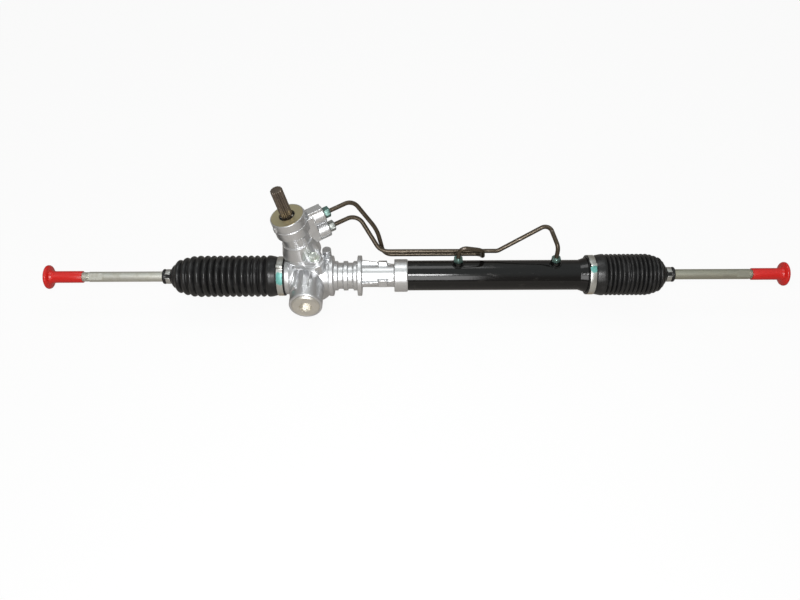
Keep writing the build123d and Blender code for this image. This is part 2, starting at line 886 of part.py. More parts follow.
# Rack guide: a piston that a spring presses against the back of the rack, with a plastic pad
pad_outer = rack_radius + running_gap + guide_pad_thickness
with BuildPart() as rack_guide:
    with BuildSketch(guide_level(guide_relief)):
        Circle(guide_radius)
    extrude(amount=guide_back - guide_relief)
    with BuildSketch(across(pinion_x - guide_radius)):
        Circle(pad_outer + running_gap)
    extrude(amount=2 * guide_radius, mode=Mode.SUBTRACT)
    with BuildSketch(guide_level(guide_hollow)):
        Circle(guide_hollow_radius)
    extrude(amount=guide_back - guide_hollow, mode=Mode.SUBTRACT)
    with BuildSketch(guide_level(guide_ring_depth)):
        Circle(guide_radius)
        Circle(guide_radius - 2 * guide_ring_wire, mode=Mode.SUBTRACT)
    extrude(amount=2 * guide_ring_wire, mode=Mode.SUBTRACT)
save(rack_guide.part, "rack_guide")

with BuildPart() as rack_guide_pad:
    with BuildSketch(across(pinion_x - guide_pad_length / 2)):
        Circle(pad_outer)
        Circle(rack_radius + running_gap, mode=Mode.SUBTRACT)
        with Locations((guide_relief, 0)):
            Rectangle(2 * pad_outer, 2 * pad_outer, align=(Align.MIN, Align.CENTER), mode=Mode.SUBTRACT)
        with Locations((-guide_pad_edge, 0)):
            Rectangle(2 * pad_outer, 2 * pad_outer, align=(Align.MIN, Align.CENTER), mode=Mode.SUBTRACT)
    extrude(amount=guide_pad_length)
save(rack_guide_pad.part, "rack_guide_pad")

with BuildPart() as rack_guide_o_ring:
    with BuildSketch(guide_section):
        with Locations((guide_radius - guide_ring_wire, guide_ring_depth + guide_ring_wire)):
            Circle(guide_ring_wire - running_gap)
    revolve(axis=guide_line)
save(rack_guide_o_ring.part, "rack_guide_o_ring")

spring_length = plug_inner + spring_seat - guide_hollow - 2 * spring_wire
spring_start = guide_level(guide_hollow + spring_wire)
with BuildPart() as rack_guide_spring:
    with BuildLine() as coil:
        Helix(
            pitch=spring_length / spring_turns,
            height=spring_length,
            radius=spring_radius,
            center=spring_start.origin,
            direction=spring_start.z_dir,
        )
    with BuildSketch(Plane(coil.line @ 0, z_dir=coil.line % 0)):
        Circle(spring_wire)
    sweep(path=coil.line, is_frenet=True)
save(rack_guide_spring.part, "rack_guide_spring")

with BuildPart() as rack_guide_plug:
    with BuildSketch(guide_section):
        with BuildLine():
            Polyline(
                (0, plug_inner),
                (plug_radius, plug_inner),
                (plug_radius, plug_outer - plug_crown),
                (plug_radius - plug_crown, plug_outer),
                (0, plug_outer),
                close=True,
            )
        make_face()
    revolve(axis=guide_line)
    with BuildSketch(guide_level(plug_outer)):
        RegularPolygon(plug_hex / 2, 6, major_radius=False)
    extrude(amount=-plug_hex_depth, mode=Mode.SUBTRACT)
    with BuildSketch(guide_level(plug_inner)):
        Circle(guide_hollow_radius)
    extrude(amount=spring_seat, mode=Mode.SUBTRACT)
save(rack_guide_plug.part, "rack_guide_plug")

# Hydraulic cylinder tube, flared at its right end, with a boss for each port
tube_flare_end = tube_flare_start + tube_flare_length
with BuildPart() as cylinder_tube:
    with BuildSketch(Plane.XZ):
        with BuildLine():
            Polyline(
                (tube_start, tube_bore),
                (tube_start, tube_radius),
                (tube_flare_start, tube_radius),
                (tube_flare_end, tube_flare_radius),
                (tube_end, tube_flare_radius),
                (tube_end, flare_bore),
                (tube_flare_end, flare_bore),
                (tube_flare_start, tube_bore),
                close=True,
            )
        make_face()
    revolve(axis=Axis.X)
    for port_x in (left_port_x, right_port_x):
        with BuildSketch(port_plane(port_x, tube_radius - tube_wall / 2)):
            Circle(port_boss_radius)
        extrude(amount=port_boss_height - tube_radius + tube_wall / 2)
        with BuildSketch(port_plane(port_x, port_boss_height)):
            Circle(port_hole)
        extrude(amount=-port_boss_height, mode=Mode.SUBTRACT)
save(cylinder_tube.part, "cylinder_tube")

# Rings on the rack's axis that stay with the housing
seal_outline = (rack_radius + running_gap, seal_outer)
axis_rings = {
    "left_rack_bushing": rings(
        left_stop_x, left_stop_x + bushing_length, rack_radius + running_gap, rack_bore_radius
    ),
    "inner_rack_seal": rings(chamber_left - seal_length, chamber_left, *seal_outline),
    "outer_rack_seal": rings(chamber_right, chamber_right + seal_length, *seal_outline),
    "right_rack_bushing": rings(
        bushing_start, right_stop_x - seal_lip, rack_radius + running_gap, rack_bore_radius
    ),
    "end_plug_snap_ring": rings(
        right_stop_x, right_stop_x + snap_ring_width, joint_socket_radius + soft_gap, flare_bore
    ),
}
for ring_name, ring_outline in axis_rings.items():
    save(turned(ring_outline), ring_name)

carrier_left = chamber_left - seal_carrier_length
carrier_radius = tube_bore - running_gap
inner_carrier_outline = [
    (carrier_left, rack_bore_radius),
    (carrier_left, carrier_radius),
    (chamber_left, carrier_radius),
    (chamber_left, seal_outer),
    (chamber_left - seal_length, seal_outer),
    (chamber_left - seal_length, rack_bore_radius),
]
save(turned(inner_carrier_outline), "inner_seal_carrier")
end_plug_outline = [
    (chamber_right, seal_outer),
    (chamber_right, carrier_radius),
    (right_stop_x, carrier_radius),
    (right_stop_x, rack_radius + soft_gap),
    (right_stop_x - seal_lip, rack_radius + soft_gap),
    (right_stop_x - seal_lip, rack_bore_radius),
    (bushing_start, rack_bore_radius),
    (bushing_start, rack_radius + soft_gap),
    (chamber_right + seal_length, rack_radius + soft_gap),
    (chamber_right + seal_length, seal_outer),
]
save(turned(end_plug_outline), "end_plug")

# Rack bar with straight-cut teeth on the far side
bar_left = rack_left + washer_thickness
bar_right = rack_right - washer_thickness
piston_left = piston_x - piston_length / 2
piston_right = piston_x + piston_length / 2
gaps_to_left = ceil((travel_right + teeth_reach) / rack_pitch)
gaps_to_right = ceil((travel_left + teeth_reach) / rack_pitch)
gap_tip = (rack_pitch - rack_tooth) / 2 + rack_addendum * tan(radians(pressure_angle))
gap_root = (rack_pitch - rack_tooth) / 2 - rack_dedendum * tan(radians(pressure_angle))
teeth_left = pinion_x - (gaps_to_left + 0.5) * rack_pitch
teeth_right = pinion_x + (gaps_to_right + 0.5) * rack_pitch
with BuildPart() as rack_bar:
    with BuildSketch(Plane.XZ):
        with BuildLine():
            Polyline(
                (bar_left - socket_stud_length, 0),
                (bar_left - socket_stud_length, socket_stud),
                (bar_left, socket_stud),
                (bar_left, rack_radius - rim_chamfer),
                (bar_left + rim_chamfer, rack_radius),
                (piston_left - snap_ring_width, rack_radius),
                (piston_left - snap_ring_width, rack_radius - snap_ring_bite),
                (piston_left, rack_radius - snap_ring_bite),
                (piston_left, rack_radius),
                (piston_right, rack_radius),
                (piston_right, rack_radius - snap_ring_bite),
                (piston_right + snap_ring_width, rack_radius - snap_ring_bite),
                (piston_right + snap_ring_width, rack_radius),
                (bar_right - rim_chamfer, rack_radius),
                (bar_right, rack_radius - rim_chamfer),
                (bar_right, socket_stud),
                (bar_right + socket_stud_length, socket_stud),
                (bar_right + socket_stud_length, 0),
                close=True,
            )
        make_face()
    revolve(axis=Axis.X)
    with BuildSketch(Plane.XY.offset(-rack_radius)):
        with Locations(((teeth_left + teeth_right) / 2, rack_tip_y)):
            Rectangle(
                teeth_right - teeth_left, rack_radius,
                align=(Align.CENTER, Align.MIN),
            )
        for gap in range(-gaps_to_left, gaps_to_right + 1):
            gap_x = pinion_x + gap * rack_pitch
            with BuildLine():
                Polyline(
                    (gap_x - gap_tip, rack_tip_y),
                    (gap_x - gap_root, rack_root_y),
                    (gap_x + gap_root, rack_root_y),
                    (gap_x + gap_tip, rack_tip_y),
                    close=True,
                )
            make_face()
    extrude(amount=2 * rack_radius, mode=Mode.SUBTRACT)
save(rack_bar.part, "rack_bar")

piston_outline = [
    (piston_left, rack_radius + running_gap),
    (piston_left, piston_relief),
    (piston_left + piston_land_inset, piston_relief),
    (piston_left + piston_land_inset, piston_radius),
    (piston_x - piston_ring_width / 2, piston_radius),
    (piston_x - piston_ring_width / 2, piston_radius - piston_groove_depth),
    (piston_x + piston_ring_width / 2, piston_radius - piston_groove_depth),
    (piston_x + piston_ring_width / 2, piston_radius),
    (piston_right - piston_land_inset, piston_radius),
    (piston_right - piston_land_inset, piston_relief),
    (piston_right, piston_relief),
    (piston_right, rack_radius + running_gap),
]
save(turned(piston_outline), "piston")
piston_ring_outline = rings(
    piston_x - piston_ring_width / 2 + running_gap,
    piston_x + piston_ring_width / 2 - running_gap,
    piston_radius - piston_groove_depth + running_gap,
    tube_bore - running_gap,
)
save(turned(piston_ring_outline), "piston_ring")

with BuildPart() as piston_snap_rings:
    for ring_x in (piston_left - snap_ring_width, piston_right):
        with BuildSketch(across(ring_x)):
            Circle(rack_radius + snap_ring_depth)
            Circle(rack_radius - snap_ring_bite, mode=Mode.SUBTRACT)
            with Locations((0, -rack_radius)):
                Rectangle(snap_ring_opening, 4 * snap_ring_depth, mode=Mode.SUBTRACT)
        extrude(amount=snap_ring_width)
save(piston_snap_rings.part, "piston_snap_rings")


def ball_joint(side, outward, bar_end, ball_x, rod_length, thread_length, cap_gap):
    """Washer, socket, ball seat, tie rod and thread cap of one end, outward = -1 or 1."""

    def out(distance, origin=ball_x):
        return origin + outward * distance

    socket_face = out(-socket_inner_length)
    save(turned(rings(bar_end, socket_face, socket_stud + bore_gap, washer_radius)), f"{side}_lock_washer")

    with BuildPart() as joint_socket:
        with BuildSketch(Plane.XZ):
            with BuildLine():
                Polyline(
                    (socket_face, socket_stud + bore_gap),
                    (socket_face, joint_socket_radius - rim_chamfer),
                    (out(rim_chamfer, socket_face), joint_socket_radius),
                    (out(socket_mouth - rim_chamfer), joint_socket_radius),
                    (out(socket_mouth), joint_socket_radius - rim_chamfer),
                    (out(socket_mouth), 0),
                    (out(socket_stud_length, socket_face), 0),
                    (out(socket_stud_length, socket_face), socket_stud + bore_gap),
                    close=True,
                )
            make_face()
        revolve(axis=Axis.X)
        with Locations((ball_x, 0, 0)):
            Sphere(seat_cavity, mode=Mode.SUBTRACT)
        with BuildSketch(across(min(socket_face, out(socket_flat_length, socket_face)))):
            Circle(joint_socket_radius + 1)
            Rectangle(socket_flat_across, 3 * joint_socket_radius, mode=Mode.SUBTRACT)
        extrude(amount=socket_flat_length, mode=Mode.SUBTRACT)
    save(joint_socket.part, f"{side}_joint_socket")

    with BuildPart() as ball_seat:
        with Locations((ball_x, 0, 0)):
            Sphere(ball_radius + running_gap + ball_seat_wall)
            Sphere(ball_radius + running_gap, mode=Mode.SUBTRACT)
        with Locations((out(socket_mouth + ball_radius), 0, 0), (out(-seat_back - ball_radius), 0, 0)):
            Box(2 * ball_radius, 4 * ball_radius, 4 * ball_radius, mode=Mode.SUBTRACT)
    save(ball_seat.part, f"{side}_ball_seat")

    flats_end = rod_length + wrench_length
    rod_tip = flats_end + thread_length
    with BuildPart() as tie_rod:
        with BuildSketch(Plane.XZ):
            with BuildLine():
                Polyline(
                    (out(0), 0),
                    (out(0), tie_rod_neck),
                    (out(neck_flare_start), tie_rod_neck),
                    (out(neck_flare_end), tie_rod_radius),
                    (out(bellows_neck_reach - bellows_neck_width), tie_rod_radius),
                    (out(rod_length), tie_rod_radius),
                    (out(flats_end), tie_rod_radius),
                    (out(flats_end), rod_thread_radius),
                    (out(rod_tip - rim_chamfer), rod_thread_radius),
                    (out(rod_tip), rod_thread_radius - rim_chamfer),
                    (out(rod_tip), 0),
                    close=True,
                )
            make_face()
        revolve(axis=Axis.X)
        with Locations((ball_x, 0, 0)):
            Sphere(ball_radius)
        with BuildSketch(across(min(out(rod_length), out(flats_end)))):
            Circle(tie_rod_radius + 1)
            with Locations(Rotation(0, 0, wrench_turn)):
                Rectangle(3 * tie_rod_radius, wrench_across, mode=Mode.SUBTRACT)
        extrude(amount=wrench_length, mode=Mode.SUBTRACT)
    save(tie_rod.part, f"{side}_tie_rod")

    cap_mouth = flats_end + cap_gap
    cap_end = cap_mouth + cap_length
    cap_bore = rod_thread_radius + bore_gap
    with BuildPart() as thread_cap:
        with BuildSketch(Plane.XZ):
            with BuildLine():
                Polyline(
                    (out(cap_mouth), cap_bore),
                    (out(cap_mouth), cap_radius),
                    (out(cap_end - cap_disc_thickness), cap_radius),
                    (out(cap_end - cap_disc_thickness), cap_disc_radius),
                    (out(cap_end), cap_disc_radius),
                    (out(cap_end), 0),
                    (out(rod_tip + bore_gap), 0),
                    (out(rod_tip + bore_gap), cap_bore),
                    close=True,
                )
            make_face()
        revolve(axis=Axis.X)
    save(thread_cap.part, f"{side}_thread_cap")


def fold_line(folds, neck_start):
    """Crests and valleys of a bellows' wall, which shrink towards its neck."""
    first_crest, pitch, even_count, end_pitch, shrink_start, depth = folds
    points = []
    crest = first_crest
    while crest < neck_start - end_pitch / 2:
        step = pitch if len(points) < 2 * even_count else end_pitch
        for distance, drop in ((crest, 0), (crest + step / 2, depth)):
            share = max(0, distance - shrink_start) / (neck_start - shrink_start)
            shrink = bellows_shrink * share ** bellows_shrink_power
            points.append((distance, bellows_crest_radius - shrink - drop))
        crest += step
    return points


def bellows_set(side, outward, lip_x, neck_x, mouth_radius, folds):
    """Rubber bellows with its large band clamp and its small spring clip."""

    def out(distance, origin=lip_x):
        return origin + outward * distance

    length = abs(neck_x - lip_x)
    cuff_inner = mouth_radius + bore_gap
    cuff_outer = cuff_inner + bellows_cuff_wall
    clamp_end = bellows_lip + bellows_clamp_width
    fold_start = clamp_end + bellows_cuff_length
    neck_inner = tie_rod_radius + soft_gap
    neck_outer = neck_inner + bellows_wall
    neck_start = length - bellows_neck_width
    folded = fold_line(folds, neck_start)
    shoulder = bellows_crest_radius - bellows_shrink
    outer_wall = [
        (0, cuff_inner),
        (0, cuff_inner + bellows_lip_height),
        (bellows_lip, cuff_inner + bellows_lip_height),
        (bellows_lip, cuff_outer),
        (fold_start, cuff_outer),
        *folded,
        (neck_start, shoulder),
        (neck_start, neck_outer),
        (length - bellows_bead_width, neck_outer),
        (length - bellows_bead_width, neck_outer + bellows_bead_height),
        (length, neck_outer + bellows_bead_height),
    ]
    inner_wall = [
        (length, neck_inner),
        (neck_start - bellows_wall, neck_inner),
        (neck_start - bellows_wall, shoulder - bellows_wall),
        *[(distance, radius - bellows_wall) for distance, radius in reversed(folded)],
        (fold_start, cuff_inner),
    ]
    outline = [(out(distance), radius) for distance, radius in outer_wall + inner_wall]
    save(turned(outline), f"{side}_bellows")

    clamp_inner = cuff_outer + running_gap
    band_middle = out(bellows_lip + bellows_clamp_width / 2)
    with BuildPart() as large_clamp:
        with BuildSketch(across(band_middle - bellows_clamp_width / 2 + running_gap)):
            Circle(clamp_inner + clamp_thickness)
            with Locations(Rotation(0, 0, clamp_ear_angle)):
                with Locations((clamp_inner + clamp_ear / 2, 0)):
                    Rectangle(clamp_ear, clamp_ear_width)
            Circle(clamp_inner, mode=Mode.SUBTRACT)
        extrude(amount=bellows_clamp_width - 2 * running_gap)
    save(large_clamp.part, f"{side}_large_clamp")

    clip_inner = neck_outer + running_gap
    clip_middle = out(neck_start + clip_inset + clip_width / 2)
    with BuildPart() as small_clip:
        with BuildSketch(across(clip_middle - clip_width / 2)):
            Circle(clip_inner + clip_wire)
            for ear_turn in (-clip_ear_spread, clip_ear_spread):
                with Locations(Rotation(0, 0, clip_ear_angle + ear_turn)):
                    with Locations((clip_inner + clip_ear / 2, 0)):
                        Rectangle(clip_ear, clip_wire)
            Circle(clip_inner, mode=Mode.SUBTRACT)
        extrude(amount=clip_width)
    save(small_clip.part, f"{side}_small_clip")


ball_joint("left", -1, bar_left, left_ball_x, left_rod_length, left_thread_length, left_cap_gap)
ball_joint("right", 1, bar_right, right_ball_x, right_rod_length, right_thread_length, right_cap_gap)
bellows_set("left", -1, housing_face_x, left_neck_x, tube_flare_radius, left_folds)
bellows_set("right", 1, right_lip_x, right_neck_x, tube_flare_radius, right_folds)

# Steel lines from the valve to the two ends of the cylinder
port_out = radial(port_angle, 0).z_dir


def valve_exit(height, distance):
    """Point on a valve port's axis, at a distance out from its end face."""
    return pinion_origin + lean_axis * height + port_out * (port_reach + distance)


def port_exit(x_position, height):
    """Point on a cylinder port's axis."""
    return port_plane(x_position, height).origin


left_route = [
    valve_exit(port_heights[1], 0),
    valve_exit(port_heights[1], line_exit_reach),
    Vector(*left_drop_bend),
    Vector(left_run_start, left_run_y, left_run_z),
    Vector(left_port_x + left_turn_reach, left_run_y, left_run_z),
    Vector(left_port_x + left_turn_reach + line_radius, *left_turn_bottom),
    Vector(left_port_x + left_turn_reach, *left_turn_top),
    port_exit(left_port_x, port_boss_height + line_port_reach),
    port_exit(left_port_x, port_boss_height),
]
right_route = [
    valve_exit(port_heights[0], 0),
    valve_exit(port_heights[0], line_exit_reach),
    Vector(right_run_start, right_run_y, right_run_z),
    Vector(right_run_end, right_run_y, right_run_z),
    Vector(right_port_x - right_rise_offset, *right_rise_top),
    port_exit(right_port_x, port_boss_height + line_port_reach),
    port_exit(right_port_x, port_boss_height),
]
for line_name, route in (("left_cylinder_line", left_route), ("right_cylinder_line", right_route)):
    with BuildPart() as steel_line:
        with BuildLine() as run:
            FilletPolyline(*route, radius=line_bend)
        with BuildSketch(Plane(run.line @ 0, z_dir=run.line % 0)):
            Circle(line_radius)
        sweep(path=run.line)
    save(steel_line.part, line_name)

with BuildPart() as valve_line_nuts:
    for port_height in port_heights:
        with BuildSketch(radial(port_angle, port_height, port_reach)):
            RegularPolygon(valve_nut_across / 2, 6, major_radius=False)
            Circle(line_radius + running_gap, mode=Mode.SUBTRACT)
        extrude(amount=valve_nut_length)
save(valve_line_nuts.part, "valve_line_nuts")

with BuildPart() as cylinder_line_nuts:
    for port_x in (left_port_x, right_port_x):
        with BuildSketch(port_plane(port_x, port_boss_height)):
            RegularPolygon(line_nut_across / 2, 6, major_radius=False)
            Circle(line_radius + running_gap, mode=Mode.SUBTRACT)
        extrude(amount=line_nut_length)
save(cylinder_line_nuts.part, "cylinder_line_nuts")
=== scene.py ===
"""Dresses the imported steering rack: cast housings, bellows, clamps, rods, lines and their finishes."""

import logging
import math
from collections.abc import Iterable, Mapping, Sequence
from dataclasses import dataclass
from enum import Enum
from typing import Union

import bmesh
import bpy
import numpy as np
from mathutils import Matrix, Quaternion, Vector


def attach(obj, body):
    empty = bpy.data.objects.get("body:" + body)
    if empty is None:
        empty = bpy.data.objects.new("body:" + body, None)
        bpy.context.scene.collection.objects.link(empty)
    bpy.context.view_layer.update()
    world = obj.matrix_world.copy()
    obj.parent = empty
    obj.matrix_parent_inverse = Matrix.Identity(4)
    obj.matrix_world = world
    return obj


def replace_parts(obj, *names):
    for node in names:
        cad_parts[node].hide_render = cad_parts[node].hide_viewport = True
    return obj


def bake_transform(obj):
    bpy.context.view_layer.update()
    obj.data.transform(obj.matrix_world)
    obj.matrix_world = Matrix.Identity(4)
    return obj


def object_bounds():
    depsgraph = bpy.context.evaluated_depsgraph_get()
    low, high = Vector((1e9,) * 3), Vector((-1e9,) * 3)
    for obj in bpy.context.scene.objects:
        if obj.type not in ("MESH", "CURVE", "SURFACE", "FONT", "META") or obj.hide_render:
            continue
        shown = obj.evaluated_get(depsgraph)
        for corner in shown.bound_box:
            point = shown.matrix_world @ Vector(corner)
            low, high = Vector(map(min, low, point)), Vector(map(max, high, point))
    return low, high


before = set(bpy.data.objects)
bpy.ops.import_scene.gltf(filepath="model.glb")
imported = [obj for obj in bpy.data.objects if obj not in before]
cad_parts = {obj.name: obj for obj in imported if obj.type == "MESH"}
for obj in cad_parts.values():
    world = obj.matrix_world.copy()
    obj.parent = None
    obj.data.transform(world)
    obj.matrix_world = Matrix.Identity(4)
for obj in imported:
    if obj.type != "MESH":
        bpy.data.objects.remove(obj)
CAD_BOX = [list(corner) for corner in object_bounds()]

LOG = logging.getLogger("steering_rack")
MM = 0.001
LEAN = math.radians(12.0)
TOWER_FOOT = Vector((-54.5, 14.8311, 0.0))
TOWER_AXIS = Vector((-math.sin(LEAN), 0.0, math.cos(LEAN)))
TOWER_SIDE = Vector((math.cos(LEAN), 0.0, math.sin(LEAN)))

Row = tuple[float, float, float]
Point = tuple[float, float]
Colour = tuple[float, float, float]


class Side(Enum):
    """The two ends of the rack, by the sign of X."""

    LEFT = -1
    RIGHT = 1

    @property
    def word(self) -> str:
        """The side's name as the CAD nodes spell it."""
        return self.name.lower()


# Nodes


class Sock:
    """An output socket that arithmetic can be written on."""

    def __init__(self, net: "Net", socket: bpy.types.NodeSocket) -> None:
        """Wraps a socket of a node net."""
        self.net = net
        self.socket = socket

    def math(self, operation: str, other: "Value" = 0.0, turned: bool = False) -> "Sock":
        """Adds one Math node.

        Args:
            operation: the node's operation.
            other: the second number.
            turned: True where this socket is the second number.

        Returns:
            The node's output.
        """
        first, second = (other, self) if turned else (self, other)
        return self.net.node("ShaderNodeMath", {0: first, 1: second}, operation=operation)

    def __add__(self, other: "Value") -> "Sock":
        """Sum."""
        return self.math("ADD", other)

    def __sub__(self, other: "Value") -> "Sock":
        """Difference."""
        return self.math("SUBTRACT", other)

    def __rsub__(self, other: "Value") -> "Sock":
        """Difference from a number."""
        return self.math("SUBTRACT", other, turned=True)

    def __mul__(self, other: "Value") -> "Sock":
        """Product."""
        return self.math("MULTIPLY", other)

    def __truediv__(self, other: "Value") -> "Sock":
        """Quotient."""
        return self.math("DIVIDE", other)

    def __pow__(self, other: "Value") -> "Sock":
        """Power."""
        return self.math("POWER", other)

    __radd__ = __add__
    __rmul__ = __mul__

    def step(self, low: float, high: float) -> "Sock":
        """Smooth 0 to 1 between two values, or 1 to 0 where low is above high.

        Args:
            low: where it is 0.
            high: where it is 1.

        Returns:
            The stepped value.
        """
        inputs = {"Value": self, "From Min": min(low, high), "From Max": max(low, high)}
        rising = self.net.node("ShaderNodeMapRange", inputs, interpolation_type="SMOOTHSTEP")
        return rising if low < high else 1.0 - rising


Value = Union[Sock, float, Sequence[float]]


class Net:
    """A node tree with one way to add a node."""

    def __init__(self, tree: bpy.types.NodeTree) -> None:
        """Wraps a tree."""
        self.tree = tree

    def node(
        self,
        kind: str,
        inputs: Mapping[int | str, Value] | None = None,
        out: int | str = 0,
        **settings: object,
    ) -> Sock | None:
        """Adds a node.

        Args:
            kind: the node's type.
            inputs: values or links of its sockets, by name or index.
            out: the output that is wanted.
            settings: the node's own settings, set first; stops are a colour ramp's.

        Returns:
            The wanted output, or None where the node has none.
        """
        made = self.tree.nodes.new(kind)
        stops = settings.pop("stops", None)
        for name, value in settings.items():
            setattr(made, name, value)
        if stops:
            elements = made.color_ramp.elements
            while len(elements) < len(stops):
                elements.new(1.0)
            for element, (place, colour) in zip(elements, stops):
                element.position = place
                element.color = (*colour, 1.0)
        for key, value in (inputs or {}).items():
            if isinstance(value, Sock):
                self.tree.links.new(value.socket, made.inputs[key])
            elif value is not None:
                made.inputs[key].default_value = value
        return Sock(self, made.outputs[out]) if len(made.outputs) else None

    def spread(self, kind: str, names: Iterable[int | str], source: Value | None = None) -> list[Sock]:
        """Adds a node of which several outputs are wanted."""
        outputs = self.node(kind, {0: source}).socket.node.outputs
        return [Sock(self, outputs[name]) for name in names]

    def mix(self, share: Value, first: Value, second: Value) -> Sock:
        """Mixes two colours."""
        first, second = ((*c, 1.0) if isinstance(c, tuple) else c for c in (first, second))
        return self.node("ShaderNodeMix", {0: share, 6: first, 7: second}, out=2, data_type="RGBA")


class Paint(Net):
    """A material's tree, with the patterns that the finishes share. Lengths are in millimetres."""

    def __init__(self, name: str) -> None:
        """Starts an empty material.

        Args:
            name: the material's name.
        """
        self.material = bpy.data.materials.new(name)
        self.material.use_nodes = True
        self.material.node_tree.nodes.clear()
        super().__init__(self.material.node_tree)
        self.place = self.node("ShaderNodeTexCoord", out="Object")
        self.z = self.spread("ShaderNodeSeparateXYZ", (2,), self.place)[0] * (1 / MM)

    def noise(self, size: float, detail: float = 2.0, stretch: Colour = (1, 1, 1)) -> Sock:
        """Noise whose blotches are about size across, each axis stretched by a factor.

        Args:
            size: how large a blotch is.
            detail: how many finer layers it has.
            stretch: each axis's factor.

        Returns:
            A value about 0.5.
        """
        scale = tuple(1 / (size * MM * s) for s in stretch)
        place = self.node("ShaderNodeMapping", {"Vector": self.place, "Scale": scale})
        return self.node("ShaderNodeTexNoise", {"Vector": place, "Scale": 1.0, "Detail": detail})

    def along(self, direction: Sequence[float], size: float) -> Sock:
        """Bands across a direction, such as a lathe leaves, about size apart.

        Args:
            direction: square to the bands.
            size: from one band to the next.

        Returns:
            A value about 0.5.
        """
        inputs = {0: self.place, 1: tuple(direction)}
        reach = self.node("ShaderNodeVectorMath", inputs, out="Value", operation="DOT_PRODUCT")
        inputs = {"W": reach * (1 / (size * MM)), "Scale": 1.0, "Detail": 2.0}
        return self.node("ShaderNodeTexNoise", inputs, noise_dimensions="1D")

    def near(self, centre: Sequence[float], reach: float, ragged: float = 0.5) -> Sock:
        """1 near a point, with a ragged edge at a reach.

        Args:
            centre: the point.
            reach: how far it goes.
            ragged: how far the edge strays, as a share of the reach.

        Returns:
            A value from 0 to 1.
        """
        inputs = {0: self.place, 1: tuple(c * MM for c in centre)}
        away = self.node("ShaderNodeVectorMath", inputs, out="Value", operation="DISTANCE")
        edge = away * (1 / MM) + (self.noise(reach * 0.5, 3.0) - 0.5) * (2 * ragged * reach)
        return edge.step(reach, reach * 0.75)

    def attribute(self, name: str) -> Sock:
        """A number kept on the mesh's points."""
        return self.node("ShaderNodeAttribute", out="Fac", attribute_name=name)

    def close(self, base: Value, rough: Value, metal: Value, height: Sock | None = None,
              depth: float = 0.1, **fixed: Value) -> bpy.types.Material:
        """Ends the material in one principled shader.

        Args:
            base: the colour.
            rough: the roughness.
            metal: how metallic it is.
            height: relief from 0 to 1.
            depth: what that relief is worth, in millimetres.
            fixed: constants for other sockets, with underscores for spaces.

        Returns:
            The finished material.
        """
        inputs: dict[int | str, Value] = {"Roughness": rough, "Metallic": metal}
        inputs["Base Color"] = (*base, 1.0) if isinstance(base, tuple) else base
        inputs.update({name.replace("_", " "): value for name, value in fixed.items()})
        if height:
            relief = {"Strength": 1.0, "Distance": depth * MM, "Height": height}
            inputs["Normal"] = self.node("ShaderNodeBump", relief)
        shader = self.node("ShaderNodeBsdfPrincipled", inputs)
        self.node("ShaderNodeOutputMaterial", {0: shader})
        return self.material


# Finishes


@dataclass(frozen=True)
class Finish:
    """A surface finish and the record's slot that it belongs to."""

    name: str
    slot: str
    colour: Colour

    def material(self) -> bpy.types.Material:
        """The finish's material, made once."""
        return bpy.data.materials.get(self.name) or self.paint(Paint(self.name))

    def paint(self, net: Paint) -> bpy.types.Material:
        """Builds the material; each finish has its own."""
        raise NotImplementedError


@dataclass(frozen=True)
class CastMetal(Finish):
    """Sand-blasted aluminium casting: fine grain, soft stains, smears of paint; painted shade in its
    corners and on its flange's side, painted highlights on its edges.
    """

    stain: Colour = (0.60, 0.565, 0.50)
    grain: float = 0.5
    mark: Colour = (0.10, 0.42, 0.27)
    marks: tuple[tuple[float, float, float, float], ...] = ()
    # corner is a painted shade, laid into hollow corners and recesses.
    corner: Colour = (0.17, 0.15, 0.125)
    # edge is a painted highlight, laid along proud edges and ridges.
    edge: Colour = (0.98, 0.98, 0.97)
    glint: Colour = (0.97, 0.97, 0.96)
    # skin is a painted shade, laid on the flange's outer side and round the point given next.
    skin: Colour = (0.30, 0.27, 0.24)
    shade_spot: tuple[float, float, float, float] = (-27.0, 18.0, 36.0, 10.0)

    def paint(self, net: Paint) -> bpy.types.Material:
        """Grain in the relief; stains, paint marks, painted shade and painted highlights in the colour.

        Args:
            net: an empty material.

        Returns:
            The finished material.
        """
        hollow = net.attribute("hollow")
        blotch = net.noise(22.0, 4.0).step(0.42, 0.72)
        grain = net.noise(self.grain, 4.0)
        base = net.mix(blotch * 0.35, self.colour, self.stain)
        # Painted shade: the corner colour darkens concave corners and recesses.
        base = net.mix(hollow * 0.85, base, self.corner)
        # Painted highlight: the edge colour whitens proud edges and ridges.
        base = net.mix(net.attribute("ridge") * 0.5, base, self.edge)
        base = net.mix(grain.step(0.35, 0.7) * 0.15, base, self.glint)
        # Painted shade: the skin colour darkens the flange's outer side and a spot on the boss behind the
        # tower.
        skin = net.attribute("rim") + net.near(self.shade_spot[:3], self.shade_spot[3], 0.2)
        base = net.mix(skin.math("MINIMUM", 1.0) * 0.85, base, self.skin)
        rough = 0.32 + grain * 0.10 + blotch * 0.06 + hollow * 0.15
        metal = 0.88 - hollow * 0.35
        for x, y, z, reach in self.marks:
            smear = net.near((x, y, z), reach)
            base = net.mix(smear * 0.8, base, self.mark)
            metal = metal * (1.0 - smear * 0.8)
        relief = grain * 0.6 + net.noise(3.2, 2.0) * 0.8
        return net.close(base, rough, metal, relief, 0.12)


